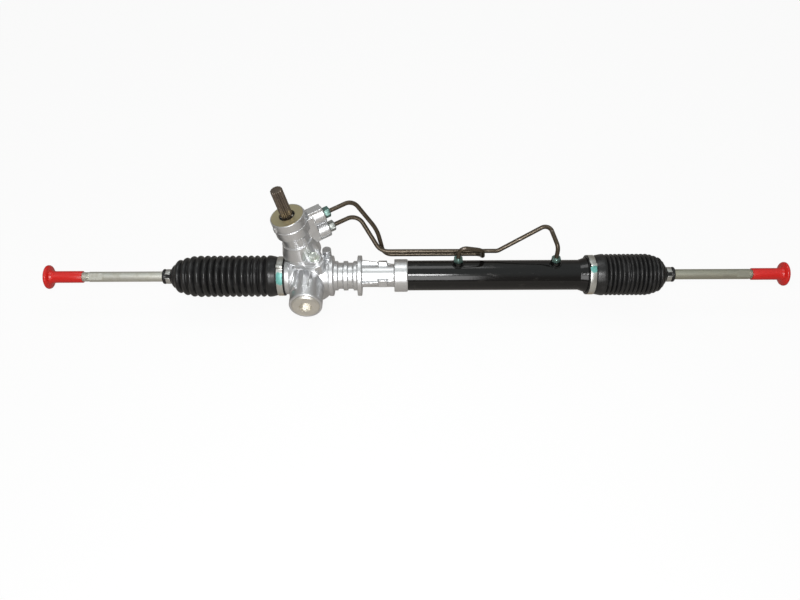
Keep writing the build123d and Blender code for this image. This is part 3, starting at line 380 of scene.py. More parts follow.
@dataclass(frozen=True)
class TurnedMetal(Finish):
    """Machined or plated steel with fine tool rings across its axis."""

    axis: tuple[float, float, float] = (1.0, 0.0, 0.0)
    rough: float = 0.3
    tarnish: Colour = (0.30, 0.27, 0.20)
    worn: Colour = (0.9, 0.9, 0.88)
    share: float = 0.35
    ring: float = 0.35
    depth: float = 0.03

    def paint(self, net: Paint) -> bpy.types.Material:
        """Rings in the relief and roughness, tarnish in the colour.

        Args:
            net: an empty material.

        Returns:
            The finished material.
        """
        rings = net.along(self.axis, self.ring)
        cloud = net.noise(9.0, 4.0).step(0.4, 0.72)
        speck = net.noise(0.9, 3.0).step(0.55, 0.75)
        base = net.mix(cloud * self.share, self.colour, self.tarnish)
        base = net.mix(speck * 0.15, base, self.worn)
        rough = self.rough + rings * 0.14 + cloud * 0.12
        return net.close(base, rough, 0.95 - cloud * 0.25, rings + speck * 0.4, self.depth)


@dataclass(frozen=True)
class GlossPaint(Finish):
    """Thick gloss paint with a faint orange peel, dust and scuffs."""

    dust: Colour = (0.18, 0.17, 0.15)

    def paint(self, net: Paint) -> bpy.types.Material:
        """Peel in the relief, dust in the colour and roughness.

        Args:
            net: an empty material.

        Returns:
            The finished material.
        """
        dust = net.noise(6.0, 5.0, (3, 1, 1)).step(0.6, 0.85)
        scuff = net.noise(1.2, 3.0, (12, 1, 1)).step(0.66, 0.78)
        base = net.mix(dust * 0.16 + scuff * 0.08, self.colour, self.dust)
        rough = 0.11 + dust * 0.22 + scuff * 0.15
        peel = net.noise(2.4, 2.0)
        return net.close(base, rough, 0.0, peel, 0.035, Specular_IOR_Level=0.5)


@dataclass(frozen=True)
class MouldedRubber(Finish):
    """Black moulded rubber: semi-gloss, with a grey bloom and faint mould lines."""

    bloom: Colour = (0.026, 0.026, 0.027)
    rough: float = 0.38

    def paint(self, net: Paint) -> bpy.types.Material:
        """Bloom in the colour, fine pimples in the relief.

        Args:
            net: an empty material.

        Returns:
            The finished material.
        """
        bloom = net.noise(12.0, 5.0).step(0.45, 0.8)
        pimple = net.noise(0.35, 2.0)
        base = net.mix(bloom, self.colour, self.bloom)
        rough = self.rough + bloom * 0.2 + pimple * 0.06
        return net.close(base, rough, 0.0, pimple * 0.5 + net.noise(5.0) * 0.5, 0.05)


@dataclass(frozen=True)
class MouldedPlastic(Finish):
    """Injection-moulded plastic with a soft sheen and light scratches."""

    rough: float = 0.24
    worn: Colour = (0.9, 0.35, 0.3)

    def paint(self, net: Paint) -> bpy.types.Material:
        """Scratches in the roughness and colour.

        Args:
            net: an empty material.

        Returns:
            The finished material.
        """
        scratch = net.noise(1.0, 3.0, (10, 1, 1)).step(0.62, 0.78)
        cloud = net.noise(8.0, 3.0)
        base = net.mix(scratch * 0.12 + cloud * 0.06, self.colour, self.worn)
        return net.close(base, self.rough + scratch * 0.2 + cloud * 0.08, 0.0, cloud, 0.05)


@dataclass(frozen=True)
class CoatedLine(Finish):
    """Dark olive coating on a steel line, worn to metal here and there."""

    worn: Colour = (0.75, 0.66, 0.61)

    def paint(self, net: Paint) -> bpy.types.Material:
        """Wear in the colour, roughness and metal.

        Args:
            net: an empty material.

        Returns:
            The finished material.
        """
        wear = net.noise(4.0, 5.0, (4, 1, 1)).step(0.62, 0.8)
        base = net.mix(wear * 0.5, self.colour, self.worn)
        rough = 0.2 + net.noise(2.0, 3.0) * 0.14
        return net.close(base, rough, 0.55 + wear * 0.3, net.noise(0.8, 3.0), 0.04)


@dataclass(frozen=True)
class BandSteel(Finish):
    """Bright band steel with a painted warm reflection in a straw colour low down, and a dab of paint."""

    # The straw colour is a painted warm reflection on the band's lower part.
    warm_reflection: Colour = (0.70, 0.50, 0.24)
    mark: Colour = (0.09, 0.47, 0.42)
    dab: tuple[float, float, float, float] = (0.0, 0.0, 0.0, 1.0)

    def paint(self, net: Paint) -> bpy.types.Material:
        """The painted reflection by height, the dab near its own point.

        Args:
            net: an empty material.

        Returns:
            The finished material.
        """
        streak = net.noise(1.1, 4.0, (1, 5, 5))
        # Painted reflection: the band takes a straw colour towards its bottom.
        low = (net.z + streak * 12.0).step(2.0, -14.0)
        dab = net.near(self.dab[:3], self.dab[3], 0.4)
        base = net.mix(low * 0.7, self.colour, self.warm_reflection)
        base = net.mix(dab * 0.85, base, self.mark)
        return net.close(base, 0.22 + streak * 0.2, 0.95 - dab * 0.8, streak, 0.03)


ALUMINIUM = CastMetal(
    "cast_aluminium", "cast_aluminium", (0.82, 0.82, 0.80),
    marks=((-65.8, -42.0, 20.0, 6.5),),
)
STEEL = TurnedMetal("machined_steel", "machined_steel", (0.62, 0.61, 0.58))
TOWER_STEEL = TurnedMetal(
    "tower_steel", "machined_steel", (0.60, 0.58, 0.54), axis=tuple(TOWER_AXIS)
)
SHAFT_STEEL = TurnedMetal(
    "splined_steel", "zinc_steel", (0.22, 0.18, 0.145), axis=tuple(TOWER_AXIS), rough=0.3, share=0.6,
    tarnish=(0.075, 0.056, 0.044), ring=6.0,
)
ROD_STEEL = TurnedMetal(
    "grey_zinc", "zinc_steel", (0.70, 0.70, 0.64), rough=0.40, share=0.5, tarnish=(0.45, 0.43, 0.34)
)
DULL_ROD = TurnedMetal(
    "dull_zinc", "zinc_steel", (0.46, 0.455, 0.38), rough=0.42, share=0.5, tarnish=(0.36, 0.35, 0.26)
)
NUT_STEEL = TurnedMetal(
    "nut_zinc", "zinc_steel", (0.46, 0.48, 0.46), rough=0.3, share=0.5, tarnish=(0.05, 0.10, 0.09)
)
TEAL_NUT = TurnedMetal(
    "painted_nut", "zinc_steel", (0.20, 0.32, 0.29), rough=0.28, share=0.6, tarnish=(0.03, 0.15, 0.14)
)
PLUG_STEEL = TurnedMetal(
    "plug_zinc", "zinc_steel", (0.80, 0.78, 0.72), axis=(0.0, 1.0, 0.0), rough=0.3, share=0.3,
    tarnish=(0.60, 0.54, 0.43),
)
BOLT_STEEL = TurnedMetal(
    "bolt_zinc", "yellow_zinc", (0.88, 0.93, 0.86), axis=tuple(TOWER_AXIS), rough=0.24, share=0.5,
    tarnish=(0.34, 0.52, 0.40),
)
YELLOW_ZINC = TurnedMetal(
    "yellow_zinc", "yellow_zinc", (0.44, 0.455, 0.36), axis=tuple(TOWER_AXIS), rough=0.36, share=0.45,
    tarnish=(0.34, 0.34, 0.20),
)
BLACK_PAINT = GlossPaint("gloss_black_paint", "black_paint", (0.004, 0.004, 0.0042))
RUBBER = MouldedRubber(
    "moulded_rubber", "black_rubber", (0.010, 0.010, 0.0105), bloom=(0.024, 0.024, 0.025), rough=0.27
)
SEAL = MouldedRubber("seal_rubber", "seal_rubber", (0.02, 0.02, 0.02), rough=0.55)
NYLON = MouldedPlastic("white_nylon", "white_nylon", (0.82, 0.80, 0.73), rough=0.4, worn=(0.6, 0.56, 0.45))
RED = MouldedPlastic("red_plastic", "red_plastic", (0.29, 0.009, 0.011), rough=0.26)
LINE = CoatedLine("line_coating", "line_steel", (0.085, 0.066, 0.045))

CARRIED = {
    ALUMINIUM: ("rack_guide", "inner_seal_carrier", "end_plug"),
    STEEL: (
        "rack_bar", "piston", "piston_snap_rings", "end_plug_snap_ring", "left_lock_washer",
        "right_lock_washer", "rack_guide_spring", "left_joint_socket", "right_joint_socket",
    ),
    TOWER_STEEL: (
        "pinion", "valve_sleeve", "torsion_bar", "torsion_bar_pin", "input_shaft_bearing",
        "pinion_upper_bearing", "lower_bearing_outer_race", "lower_bearing_inner_race",
        "lower_bearing_balls", "pinion_lock_nut", "seal_snap_ring", "pinion_end_cap",
    ),
    PLUG_STEEL: ("rack_guide_plug",),
    YELLOW_ZINC: ("top_dust_cover",),
    BLACK_PAINT: ("cylinder_tube",),
    SEAL: (
        "valve_housing_o_ring", "input_shaft_seal", "pinion_seal", "rack_guide_o_ring",
        "inner_rack_seal", "outer_rack_seal",
    ),
    NYLON: (
        "left_ball_seat", "right_ball_seat", "rack_guide_pad", "left_rack_bushing",
        "right_rack_bushing", "piston_ring", "valve_rings",
    ),
}


# Meshes


def linked(name: str, data: bpy.types.ID) -> bpy.types.Object:
    """A new object in the scene.

    Args:
        name: its name.
        data: its mesh, lamp or camera.

    Returns:
        The object.
    """
    made = bpy.data.objects.new(name, data)
    bpy.context.scene.collection.objects.link(made)
    return made


def placed(
    mesh: bpy.types.Mesh, name: str, finish: Finish, body: str, sharp: float = 32.0
) -> bpy.types.Object:
    """Makes a mesh a piece of the object.

    Args:
        mesh: the mesh, in metres and in place.
        name: the piece's name.
        finish: its finish.
        body: the CAD body that it rides on, or an empty word where it rides on none.
        sharp: edges that turn by more than this many degrees stay sharp.

    Returns:
        The new object.
    """
    mesh.name = name
    mesh.materials.clear()
    mesh.materials.append(finish.material())
    mesh.shade_smooth()
    mesh.set_sharp_from_angle(angle=math.radians(sharp))
    piece = linked(name, mesh)
    if body:
        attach(piece, body)
    LOG.info("%s: %d faces, on %s", name, len(mesh.polygons), body or "a bend")
    return piece


def baked(piece: bpy.types.Object) -> bpy.types.Mesh:
    """Turns an object with modifiers into a plain mesh and removes the object.

    Args:
        piece: the object.

    Returns:
        Its mesh with all modifiers applied.
    """
    graph = bpy.context.evaluated_depsgraph_get()
    mesh = bpy.data.meshes.new_from_object(piece.evaluated_get(graph), depsgraph=graph)
    bpy.data.objects.remove(piece)
    return mesh


def helper(mesh: bpy.types.Mesh) -> bpy.types.Object:
    """A linked object to hang modifiers on."""
    return linked("helper", mesh)


def closed(made: bmesh.types.BMesh, mesh: bpy.types.Mesh) -> bpy.types.Mesh:
    """Writes a closed shape into a mesh, with all faces outwards.

    Args:
        made: the shape, freed afterwards.
        mesh: the mesh to write into.

    Returns:
        That mesh.
    """
    bmesh.ops.recalc_face_normals(made, faces=made.faces)
    made.to_mesh(mesh)
    made.free()
    return mesh


def outward(mesh: bpy.types.Mesh) -> bpy.types.Mesh:
    """Turns all faces of a closed mesh outwards.

    Args:
        mesh: a closed mesh.

    Returns:
        The same mesh.
    """
    made = bmesh.new()
    made.from_mesh(mesh)
    return closed(made, mesh)


def loft(rings: Sequence[Sequence[Vector]], name: str, capped: bool = True) -> bpy.types.Mesh:
    """Joins rings of points into a closed skin.

    Args:
        rings: the rings in metres, each with as many points.
        name: the mesh's name.
        capped: True where the first and last are filled, False where they are joined.

    Returns:
        A closed mesh.
    """
    made = bmesh.new()
    loops = [[made.verts.new(point) for point in ring] for ring in rings]
    count = len(loops[0])
    for first, second in zip(loops, loops[1:] if capped else [*loops[1:], loops[0]]):
        for k in range(count):
            after = (k + 1) % count
            made.faces.new((first[k], first[after], second[after], second[k]))
    if capped:
        made.faces.new(loops[0])
        made.faces.new(loops[-1])
    bmesh.ops.remove_doubles(made, verts=made.verts, dist=1e-6)
    return closed(made, bpy.data.meshes.new(name))


def polar(turn: float, reach: float = 1.0) -> Point:
    """The point at an angle in degrees, at a distance from 0."""
    return reach * math.cos(math.radians(turn)), reach * math.sin(math.radians(turn))


def seat(origin: Sequence[float], axis: Sequence[float], side: Sequence[float]) -> Matrix:
    """Places local X along an axis and local Y along a side, from millimetres to metres.

    Args:
        origin: where local 0 goes.
        axis: the way that local X goes.
        side: the way that local Y goes, square to the axis.

    Returns:
        The placing matrix.
    """
    x = Vector(axis).normalized()
    y = Vector(side).normalized()
    turn = Matrix((x, y, x.cross(y))).transposed().to_4x4()
    return Matrix.Translation(Vector(origin) * MM) @ turn @ Matrix.Scale(MM, 4)


RACK_SEAT = seat((0, 0, 0), (1, 0, 0), (0, 1, 0))
TOWER_SEAT = seat(TOWER_FOOT, TOWER_AXIS, TOWER_SIDE)


def lathe(rows: Sequence[Row], place: Matrix, sides: int = 6, steps: int = 96) -> bpy.types.Mesh:
    """A turned solid, with flats where a row asks for them.

    Args:
        rows: distance along the axis, radius and size across flats, 0 for a round row; where the
            last row is the first again, the outline is closed and no end is filled.
        place: where local X and Y go.
        sides: how many flats.
        steps: points round the axis.

    Returns:
        A closed mesh.
    """
    rings = []
    share = 2 * math.pi / sides
    for reach, radius, across in rows:
        ring = []
        for step in range(steps):
            turn = 2 * math.pi * step / steps
            here = radius
            if across:
                flat = (turn + share / 2) % share - share / 2
                here = min(radius, across / 2 / max(math.cos(flat), 0.05))
            ring.append(place @ Vector((reach, here * math.cos(turn), here * math.sin(turn))))
        rings.append(ring)
    capped = rows[0][:2] != rows[-1][:2]
    return loft(rings if capped else rings[:-1], "lathe", capped)


def softened(points: Sequence[Point], passes: int = 2) -> list[Point]:
    """Rounds an open outline by cutting its corners, its ends kept.

    Args:
        points: the outline.
        passes: how often its corners are cut.

    Returns:
        The rounder outline.
    """
    line = [Vector(p) for p in points]
    for _ in range(passes):
        cut = [line[0]]
        for a, b in zip(line, line[1:]):
            cut += [a.lerp(b, 0.25), a.lerp(b, 0.75)]
        line = [*cut, line[-1]]
    return [(p.x, p.y) for p in line]


def strip(
    path: Sequence[Point], width: float, thick: float, middle: float, ring: bool
) -> bpy.types.Mesh:
    """A band of sheet metal bent along a path square to X.

    Args:
        path: Y and Z along the band's middle.
        width: its size along X.
        thick: its thickness.
        middle: the X of its middle.
        ring: True where its ends meet.

    Returns:
        A closed mesh with rounded edges.
    """
    line = [Vector(p) for p in path]
    rings = []
    for i, point in enumerate(line):
        before = line[i - 1] if i or ring else point
        after = line[(i + 1) % len(line)] if i < len(line) - 1 or ring else point
        run = (after - before).normalized()
        out = Vector((run.y, -run.x)) * (thick / 2)
        corners = ((-1, -out), (1, -out), (1, out), (-1, out))
        rings.append([Vector((middle + x * width / 2, *(point + off))) * MM for x, off in corners])
    piece = helper(loft(rings, "strip", not ring))
    bevel = piece.modifiers.new("edges", "BEVEL")
    bevel.width, bevel.segments, bevel.limit_method = 0.22 * thick * MM, 2, "ANGLE"
    return baked(piece)


def prism(outline: Sequence[Point], low: float, high: float) -> bpy.types.Mesh:
    """A straight block along the tower.

    Args:
        outline: its corners, across the rack's plane and towards the back, seen from above.
        low: its lower height along the tower.
        high: its upper height.

    Returns:
        A closed mesh.
    """
    rings = []
    for height in (low, high):
        foot = TOWER_FOOT + TOWER_AXIS * height
        rings.append([(foot + TOWER_SIDE * u + Vector((0, v, 0))) * MM for u, v in outline])
    return loft(rings, "prism")


def cast(
    node: str, voxel: float, kept: float, name: str, finish: Finish,
    added: Sequence[bpy.types.Mesh] = (),
) -> bpy.types.Object:
    """Replaces a CAD casting by one with soft edges and filled corners.

    Args:
        node: the CAD node.
        voxel: the remesh's size in millimetres.
        kept: the share of its faces that is kept.
        name: the new piece's name.
        finish: its finish.
        added: closed meshes that become one with it.

    Returns:
        The new piece, with its corners and edges kept in the attributes "hollow" and "ridge".
    """
    made = bmesh.new()
    for part in (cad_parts[node].data, *added):
        made.from_mesh(part)
    bmesh.ops.remove_doubles(made, verts=made.verts, dist=2e-6)
    mesh = bpy.data.meshes.new(name)
    made.to_mesh(mesh)
    made.free()
    piece = helper(mesh)
    remesh = piece.modifiers.new("skin", "REMESH")
    remesh.mode, remesh.voxel_size, remesh.use_smooth_shade = "VOXEL", voxel * MM, True
    smooth = piece.modifiers.new("soften", "SMOOTH")
    smooth.factor, smooth.iterations = 0.5, 1
    mesh = baked(piece)
    mark_hollows(mesh)
    mark_rim(mesh)
    piece = helper(mesh)
    piece.modifiers.new("thin", "DECIMATE").ratio = kept
    piece = placed(baked(piece), name, finish, "root", 180.0)
    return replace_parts(piece, node)


def points_of(mesh: bpy.types.Mesh, name: str) -> np.ndarray:
    """Each point's co or normal.

    Args:
        mesh: the mesh.
        name: which of the two.

    Returns:
        One row for each point.
    """
    values = np.empty(len(mesh.vertices) * 3, np.float32)
    mesh.vertices.foreach_get(name, values)
    return values.reshape(-1, 3)


def keep(mesh: bpy.types.Mesh, name: str, values: np.ndarray) -> None:
    """Writes a number for each point, kept within 0 and 1, into an attribute."""
    kept = np.clip(values, 0.0, 1.0).astype(np.float32)
    mesh.attributes.new(name, "FLOAT", "POINT").data.foreach_set("value", kept)


def mark_hollows(mesh: bpy.types.Mesh, passes: int = 8, full: float = 0.3) -> None:
    """Writes how hollow and how proud each point lies into the attributes "hollow" and "ridge".

    Args:
        mesh: a dense mesh.
        passes: how far round each point it looks.
        full: the depth below its neighbours, in millimetres, that counts as 1.
    """
    count = len(mesh.vertices)
    place, normal = points_of(mesh, "co"), points_of(mesh, "normal")
    ends = np.empty(len(mesh.edges) * 2, np.int32)
    mesh.edges.foreach_get("vertices", ends)
    one, two = ends.reshape(-1, 2).T
    links = np.bincount(one, minlength=count) + np.bincount(two, minlength=count)
    mean = place.copy()
    for _ in range(passes):
        total = np.zeros_like(mean)
        for axis in range(3):
            total[:, axis] = np.bincount(one, mean[two, axis], count)
            total[:, axis] += np.bincount(two, mean[one, axis], count)
        mean = total / np.maximum(links, 1)[:, None]
    depth = ((mean - place) * normal).sum(1) / (full * MM)
    keep(mesh, "hollow", depth)
    keep(mesh, "ridge", -depth)


def mark_rim(
    mesh: bpy.types.Mesh, low: float = 27.6, high: float = 34.4, near: float = 24.5, far: float = 45.0
) -> None:
    """Writes 1 into the attribute "rim" on the outer side of the tower's flange, where the finish lays
    painted shade.

    Args:
        mesh: a casting.
        low: the side's lower height along the tower, in millimetres.
        high: its upper height.
        near: how far out from the tower's axis it starts.
        far: how far out it ends.
    """
    offset = points_of(mesh, "co") / MM - np.array(TOWER_FOOT)
    axis = np.array(TOWER_AXIS)
    height = offset @ axis
    away = np.linalg.norm(offset - height[:, None] * axis, axis=1)
    upright = np.abs(points_of(mesh, "normal") @ axis) < 0.6
    rim = (height > low) & (height < high) & (away > near) & (away < far) & upright
    keep(mesh, "rim", rim.astype(np.float32))


# Geometry node trees


class Growth(Net):
    """A geometry node tree that wraps a grid round local X, its group inputs all numbers."""

    def __init__(self, name: str, numbers: Sequence[str]) -> None:
        """Starts a tree.

        Args:
            name: the tree's name.
            numbers: the names of its inputs, besides rows, steps and material.
        """
        tree = bpy.data.node_groups.new(name, "GeometryNodeTree")
        kinds = {"Rows": "Int", "Steps": "Int", "Material": "Material"}
        kinds = {**dict.fromkeys(numbers, "Float"), **kinds}
        for label, kind in kinds.items():
            tree.interface.new_socket(label, in_out="INPUT", socket_type=f"NodeSocket{kind}")
        tree.interface.new_socket("Geometry", in_out="OUTPUT", socket_type="NodeSocketGeometry")
        super().__init__(tree)
        self.inputs = dict(zip(kinds, self.spread("NodeGroupInput", kinds)))

    def sheet(self) -> tuple[Sock, Sock, Sock]:
        """The grid, each point's share along the axis and its angle.

        Returns:
            The grid, the share from 0 to 1 and the angle in radians.
        """
        sizes = {"Size X": 1.0, "Size Y": 1.0}
        counts = {"Vertices X": self.inputs["Rows"], "Vertices Y": self.inputs["Steps"]}
        grid = self.node("GeometryNodeMeshGrid", {**sizes, **counts})
        position = self.node("GeometryNodeInputPosition")
        x, y = self.spread("ShaderNodeSeparateXYZ", (0, 1), position)
        return grid, x + 0.5, (y + 0.5) * (2 * math.pi)

    def wrap(self, grid: Sock, reach: Sock, radius: Sock, turn: Sock, gap: float) -> None:
        """Ends the tree in real meshes with their material.

        Args:
            grid: the grid.
            reach: each point's place along the axis.
            radius: its distance from the axis.
            turn: its angle.
            gap: points nearer than this become one.
        """
        place = {0: reach, 1: radius * turn.math("COSINE"), 2: radius * turn.math("SINE")}
        position = self.node("ShaderNodeCombineXYZ", place)
        moved = self.node("GeometryNodeSetPosition", {0: grid, "Position": position})
        joined = self.node("GeometryNodeMergeByDistance", {0: moved, "Distance": gap})
        real = self.node("GeometryNodeRealizeInstances", {0: joined})
        shown = self.node("GeometryNodeSetMaterial", {0: real, "Material": self.inputs["Material"]})
        self.node("NodeGroupOutput", {0: shown})

    def grow(self, **values: float | bpy.types.Material) -> bpy.types.Mesh:
        """Runs the tree.

        Args:
            values: the named inputs, with underscores for spaces.

        Returns:
            The plain mesh that it makes.
        """
        piece = helper(bpy.data.meshes.new("seed"))
        modifier = piece.modifiers.new("grow", "NODES")
        modifier.node_group = self.tree
        items = self.tree.interface.items_tree
        keys = {item.name: item.identifier for item in items if item.in_out == "INPUT"}
        for label, value in values.items():
            modifier[keys[label.replace("_", " ")]] = value
        return baked(piece)


def ridged_rod() -> Growth:
    """Tree for a rod with ridges: a screw thread, or lengthwise splines where the pitch is huge.

    Returns:
        The tree.
    """
    net = Growth("ridged_rod", ("Radius", "Depth", "Length", "Pitch", "Ridges", "Runout"))
    given = net.inputs
    grid, share, turn = net.sheet()
    reach = (share * 1.02 - 0.01) * given["Length"]
    inside = reach.math("MAXIMUM", 0.0).math("MINIMUM", given["Length"])
    wave = (inside / given["Pitch"] + turn * given["Ridges"] * (1 / (2 * math.pi))).math("FRACT")
    groove = 1.0 - ((wave - 0.5).math("ABSOLUTE") * 2.6).math("MINIMUM", 1.0)
    ends = inside.math("MINIMUM", given["Length"] - inside) / given["Runout"]
    runout = 1.0 - ends.math("MINIMUM", 1.0)
    radius = given["Radius"] - groove * given["Depth"] - runout * given["Depth"]
    open_end = (reach - inside).math("ABSOLUTE").math("LESS_THAN", 1e-7)
    net.wrap(grid, inside, radius * open_end, turn, 1e-6)
    return net


def folded_sleeve() -> Growth:
    """Tree for bellows: even folds, then wider ones that shrink towards the neck.

    Returns:
        The tree.
    """
    names = (
        "Start", "End", "First Crest", "Pitch", "Even Folds", "End Pitch", "Crest", "Depth",
        "Shrink Start", "Shrink Length", "Shrink",
    )
    net = Growth("folded_sleeve", names)
    given = net.inputs
    grid, share, turn = net.sheet()
    reach = given["Start"] + share * (given["End"] - given["Start"])
    past = reach - given["First Crest"]
    even = past / given["Pitch"]
    late = (past - given["Pitch"] * given["Even Folds"]) / given["End Pitch"]
    phase = even.math("MINIMUM", given["Even Folds"]) + late.math("MAXIMUM", 0.0)
    fold = (phase * math.pi).math("COSINE").math("ABSOLUTE") ** 0.75
    taper = ((reach - given["Shrink Start"]) / given["Shrink Length"]).math("MAXIMUM", 0.0) ** 1.6
    radius = given["Crest"] - taper * given["Shrink"] - (1.0 - fold) * given["Depth"]
    net.wrap(grid, reach, radius, turn, 1e-7)
    return net


# Sub-assemblies


@dataclass
class Castings:
    """Gear housing and valve housing, with forms added to the valve's."""

    gear_voxel: float = 0.78
    gear_kept: float = 0.54
    valve_voxel: float = 0.6
    valve_kept: float = 0.7
    port_radius: float = 12.45
    block: tuple[Point, ...] = ((26.0, -7.2), (47.4, -7.2), (47.4, 6.8), (26.0, 6.8))
    block_heights: Point = (82.0, 97.0)
    flange: tuple[Point, ...] = (
        (-27.0, -8.0), (-25.0, -14.0), (12.0, -35.5), (20.0, -37.5), (29.0, -34.5), (33.0, -26.0),
        (30.5, -16.0), (-8.0, 20.0), (-20.0, 12.0),
    )
    flange_heights: Point = (27.9, 34.0)
    cone: tuple[Point, ...] = ((35.0, 28.2), (42.0, 27.9), (57.5, 22.7), (60.0, 22.4))
    bolt_room: Point = (21.0, 35.0)

    def port_forms(self, tower: "Tower") -> list[bpy.types.Mesh]:
        """The two thick port barrels and the flat block above them.

        Args:
            tower: where the ports are.

        Returns:
            Closed meshes.
        """
        radius = self.port_radius
        rows = [(-17.0, radius, 0), (-1.2, radius, 0), (-0.4, radius - 0.9, 0)]
        forms = []
        for height in tower.port_heights:
            foot, out = tower.around(tower.port_turn, height, tower.port_reach)
            forms.append(lathe(rows, seat(foot, out, TOWER_AXIS)))
        turn = Matrix.Rotation(math.radians(tower.port_turn), 2)
        corners = [tuple(turn @ Vector(corner)) for corner in self.block]
        return [*forms, prism(corners, *self.block_heights)]

    def skirt(self, tower: "Tower") -> bpy.types.Mesh:
        """The cone that the waist widens to, kept clear of the bolts' heads.

        Args:
            tower: where the bolts are.

        Returns:
            A closed mesh.
        """
        waist = self.cone[-1][1]
        clear, full = self.bolt_room
        rings = []
        for height, radius in self.cone:
            ring = []
            for turn in range(0, 360, 3):
                away = abs((turn - tower.lug_turn + 90.0) % 180.0 - 90.0)
                share = min(max((away - clear) / (full - clear), 0.0), 1.0)
                point, _ = tower.around(turn, height, waist + (radius - waist) * share)
                ring.append(point * MM)
            rings.append(ring)
        return loft(rings, "skirt")

    def build(self, tower: "Tower") -> None:
        """Makes both castings.

        Args:
            tower: the sizes of the valve's ports.
        """
        cast("gear_housing", self.gear_voxel, self.gear_kept, "gear_casting", ALUMINIUM)
        flange = prism(self.flange, *self.flange_heights)
        added = [*self.port_forms(tower), self.skirt(tower), flange]
        cast("valve_housing", self.valve_voxel, self.valve_kept, "valve_casting", ALUMINIUM, added)


@dataclass
class BellowsSize:
    """Where a bellows' folds lie, in millimetres outwards from its lip."""

    side: Side
    lip: float
    first_crest: float
    pitch: float
    even_folds: float
    end_pitch: float
    depth: float
    split: float
    bend: float
    neck: float
    length: float
    crest: float
    shrink_start: float
    shrink: float
    travel_window: Point


BELLOWS = (
    BellowsSize(
        side=Side.LEFT, lip=-88.0, first_crest=23.4, pitch=9.07, even_folds=10.0, end_pitch=10.33,
        depth=4.6, split=139.0, bend=160.0, neck=167.0, length=180.0, crest=30.4, shrink_start=128.0,
        shrink=11.0, travel_window=(23.4, 151.0),
    ),
    BellowsSize(
        side=Side.RIGHT, lip=351.0, first_crest=24.5, pitch=6.3, even_folds=10.0, end_pitch=6.3,
        depth=3.6, split=89.0, bend=110.0, neck=117.0, length=130.0, crest=30.4, shrink_start=86.5,
        shrink=11.0, travel_window=(24.5, 96.5),
    ),
)


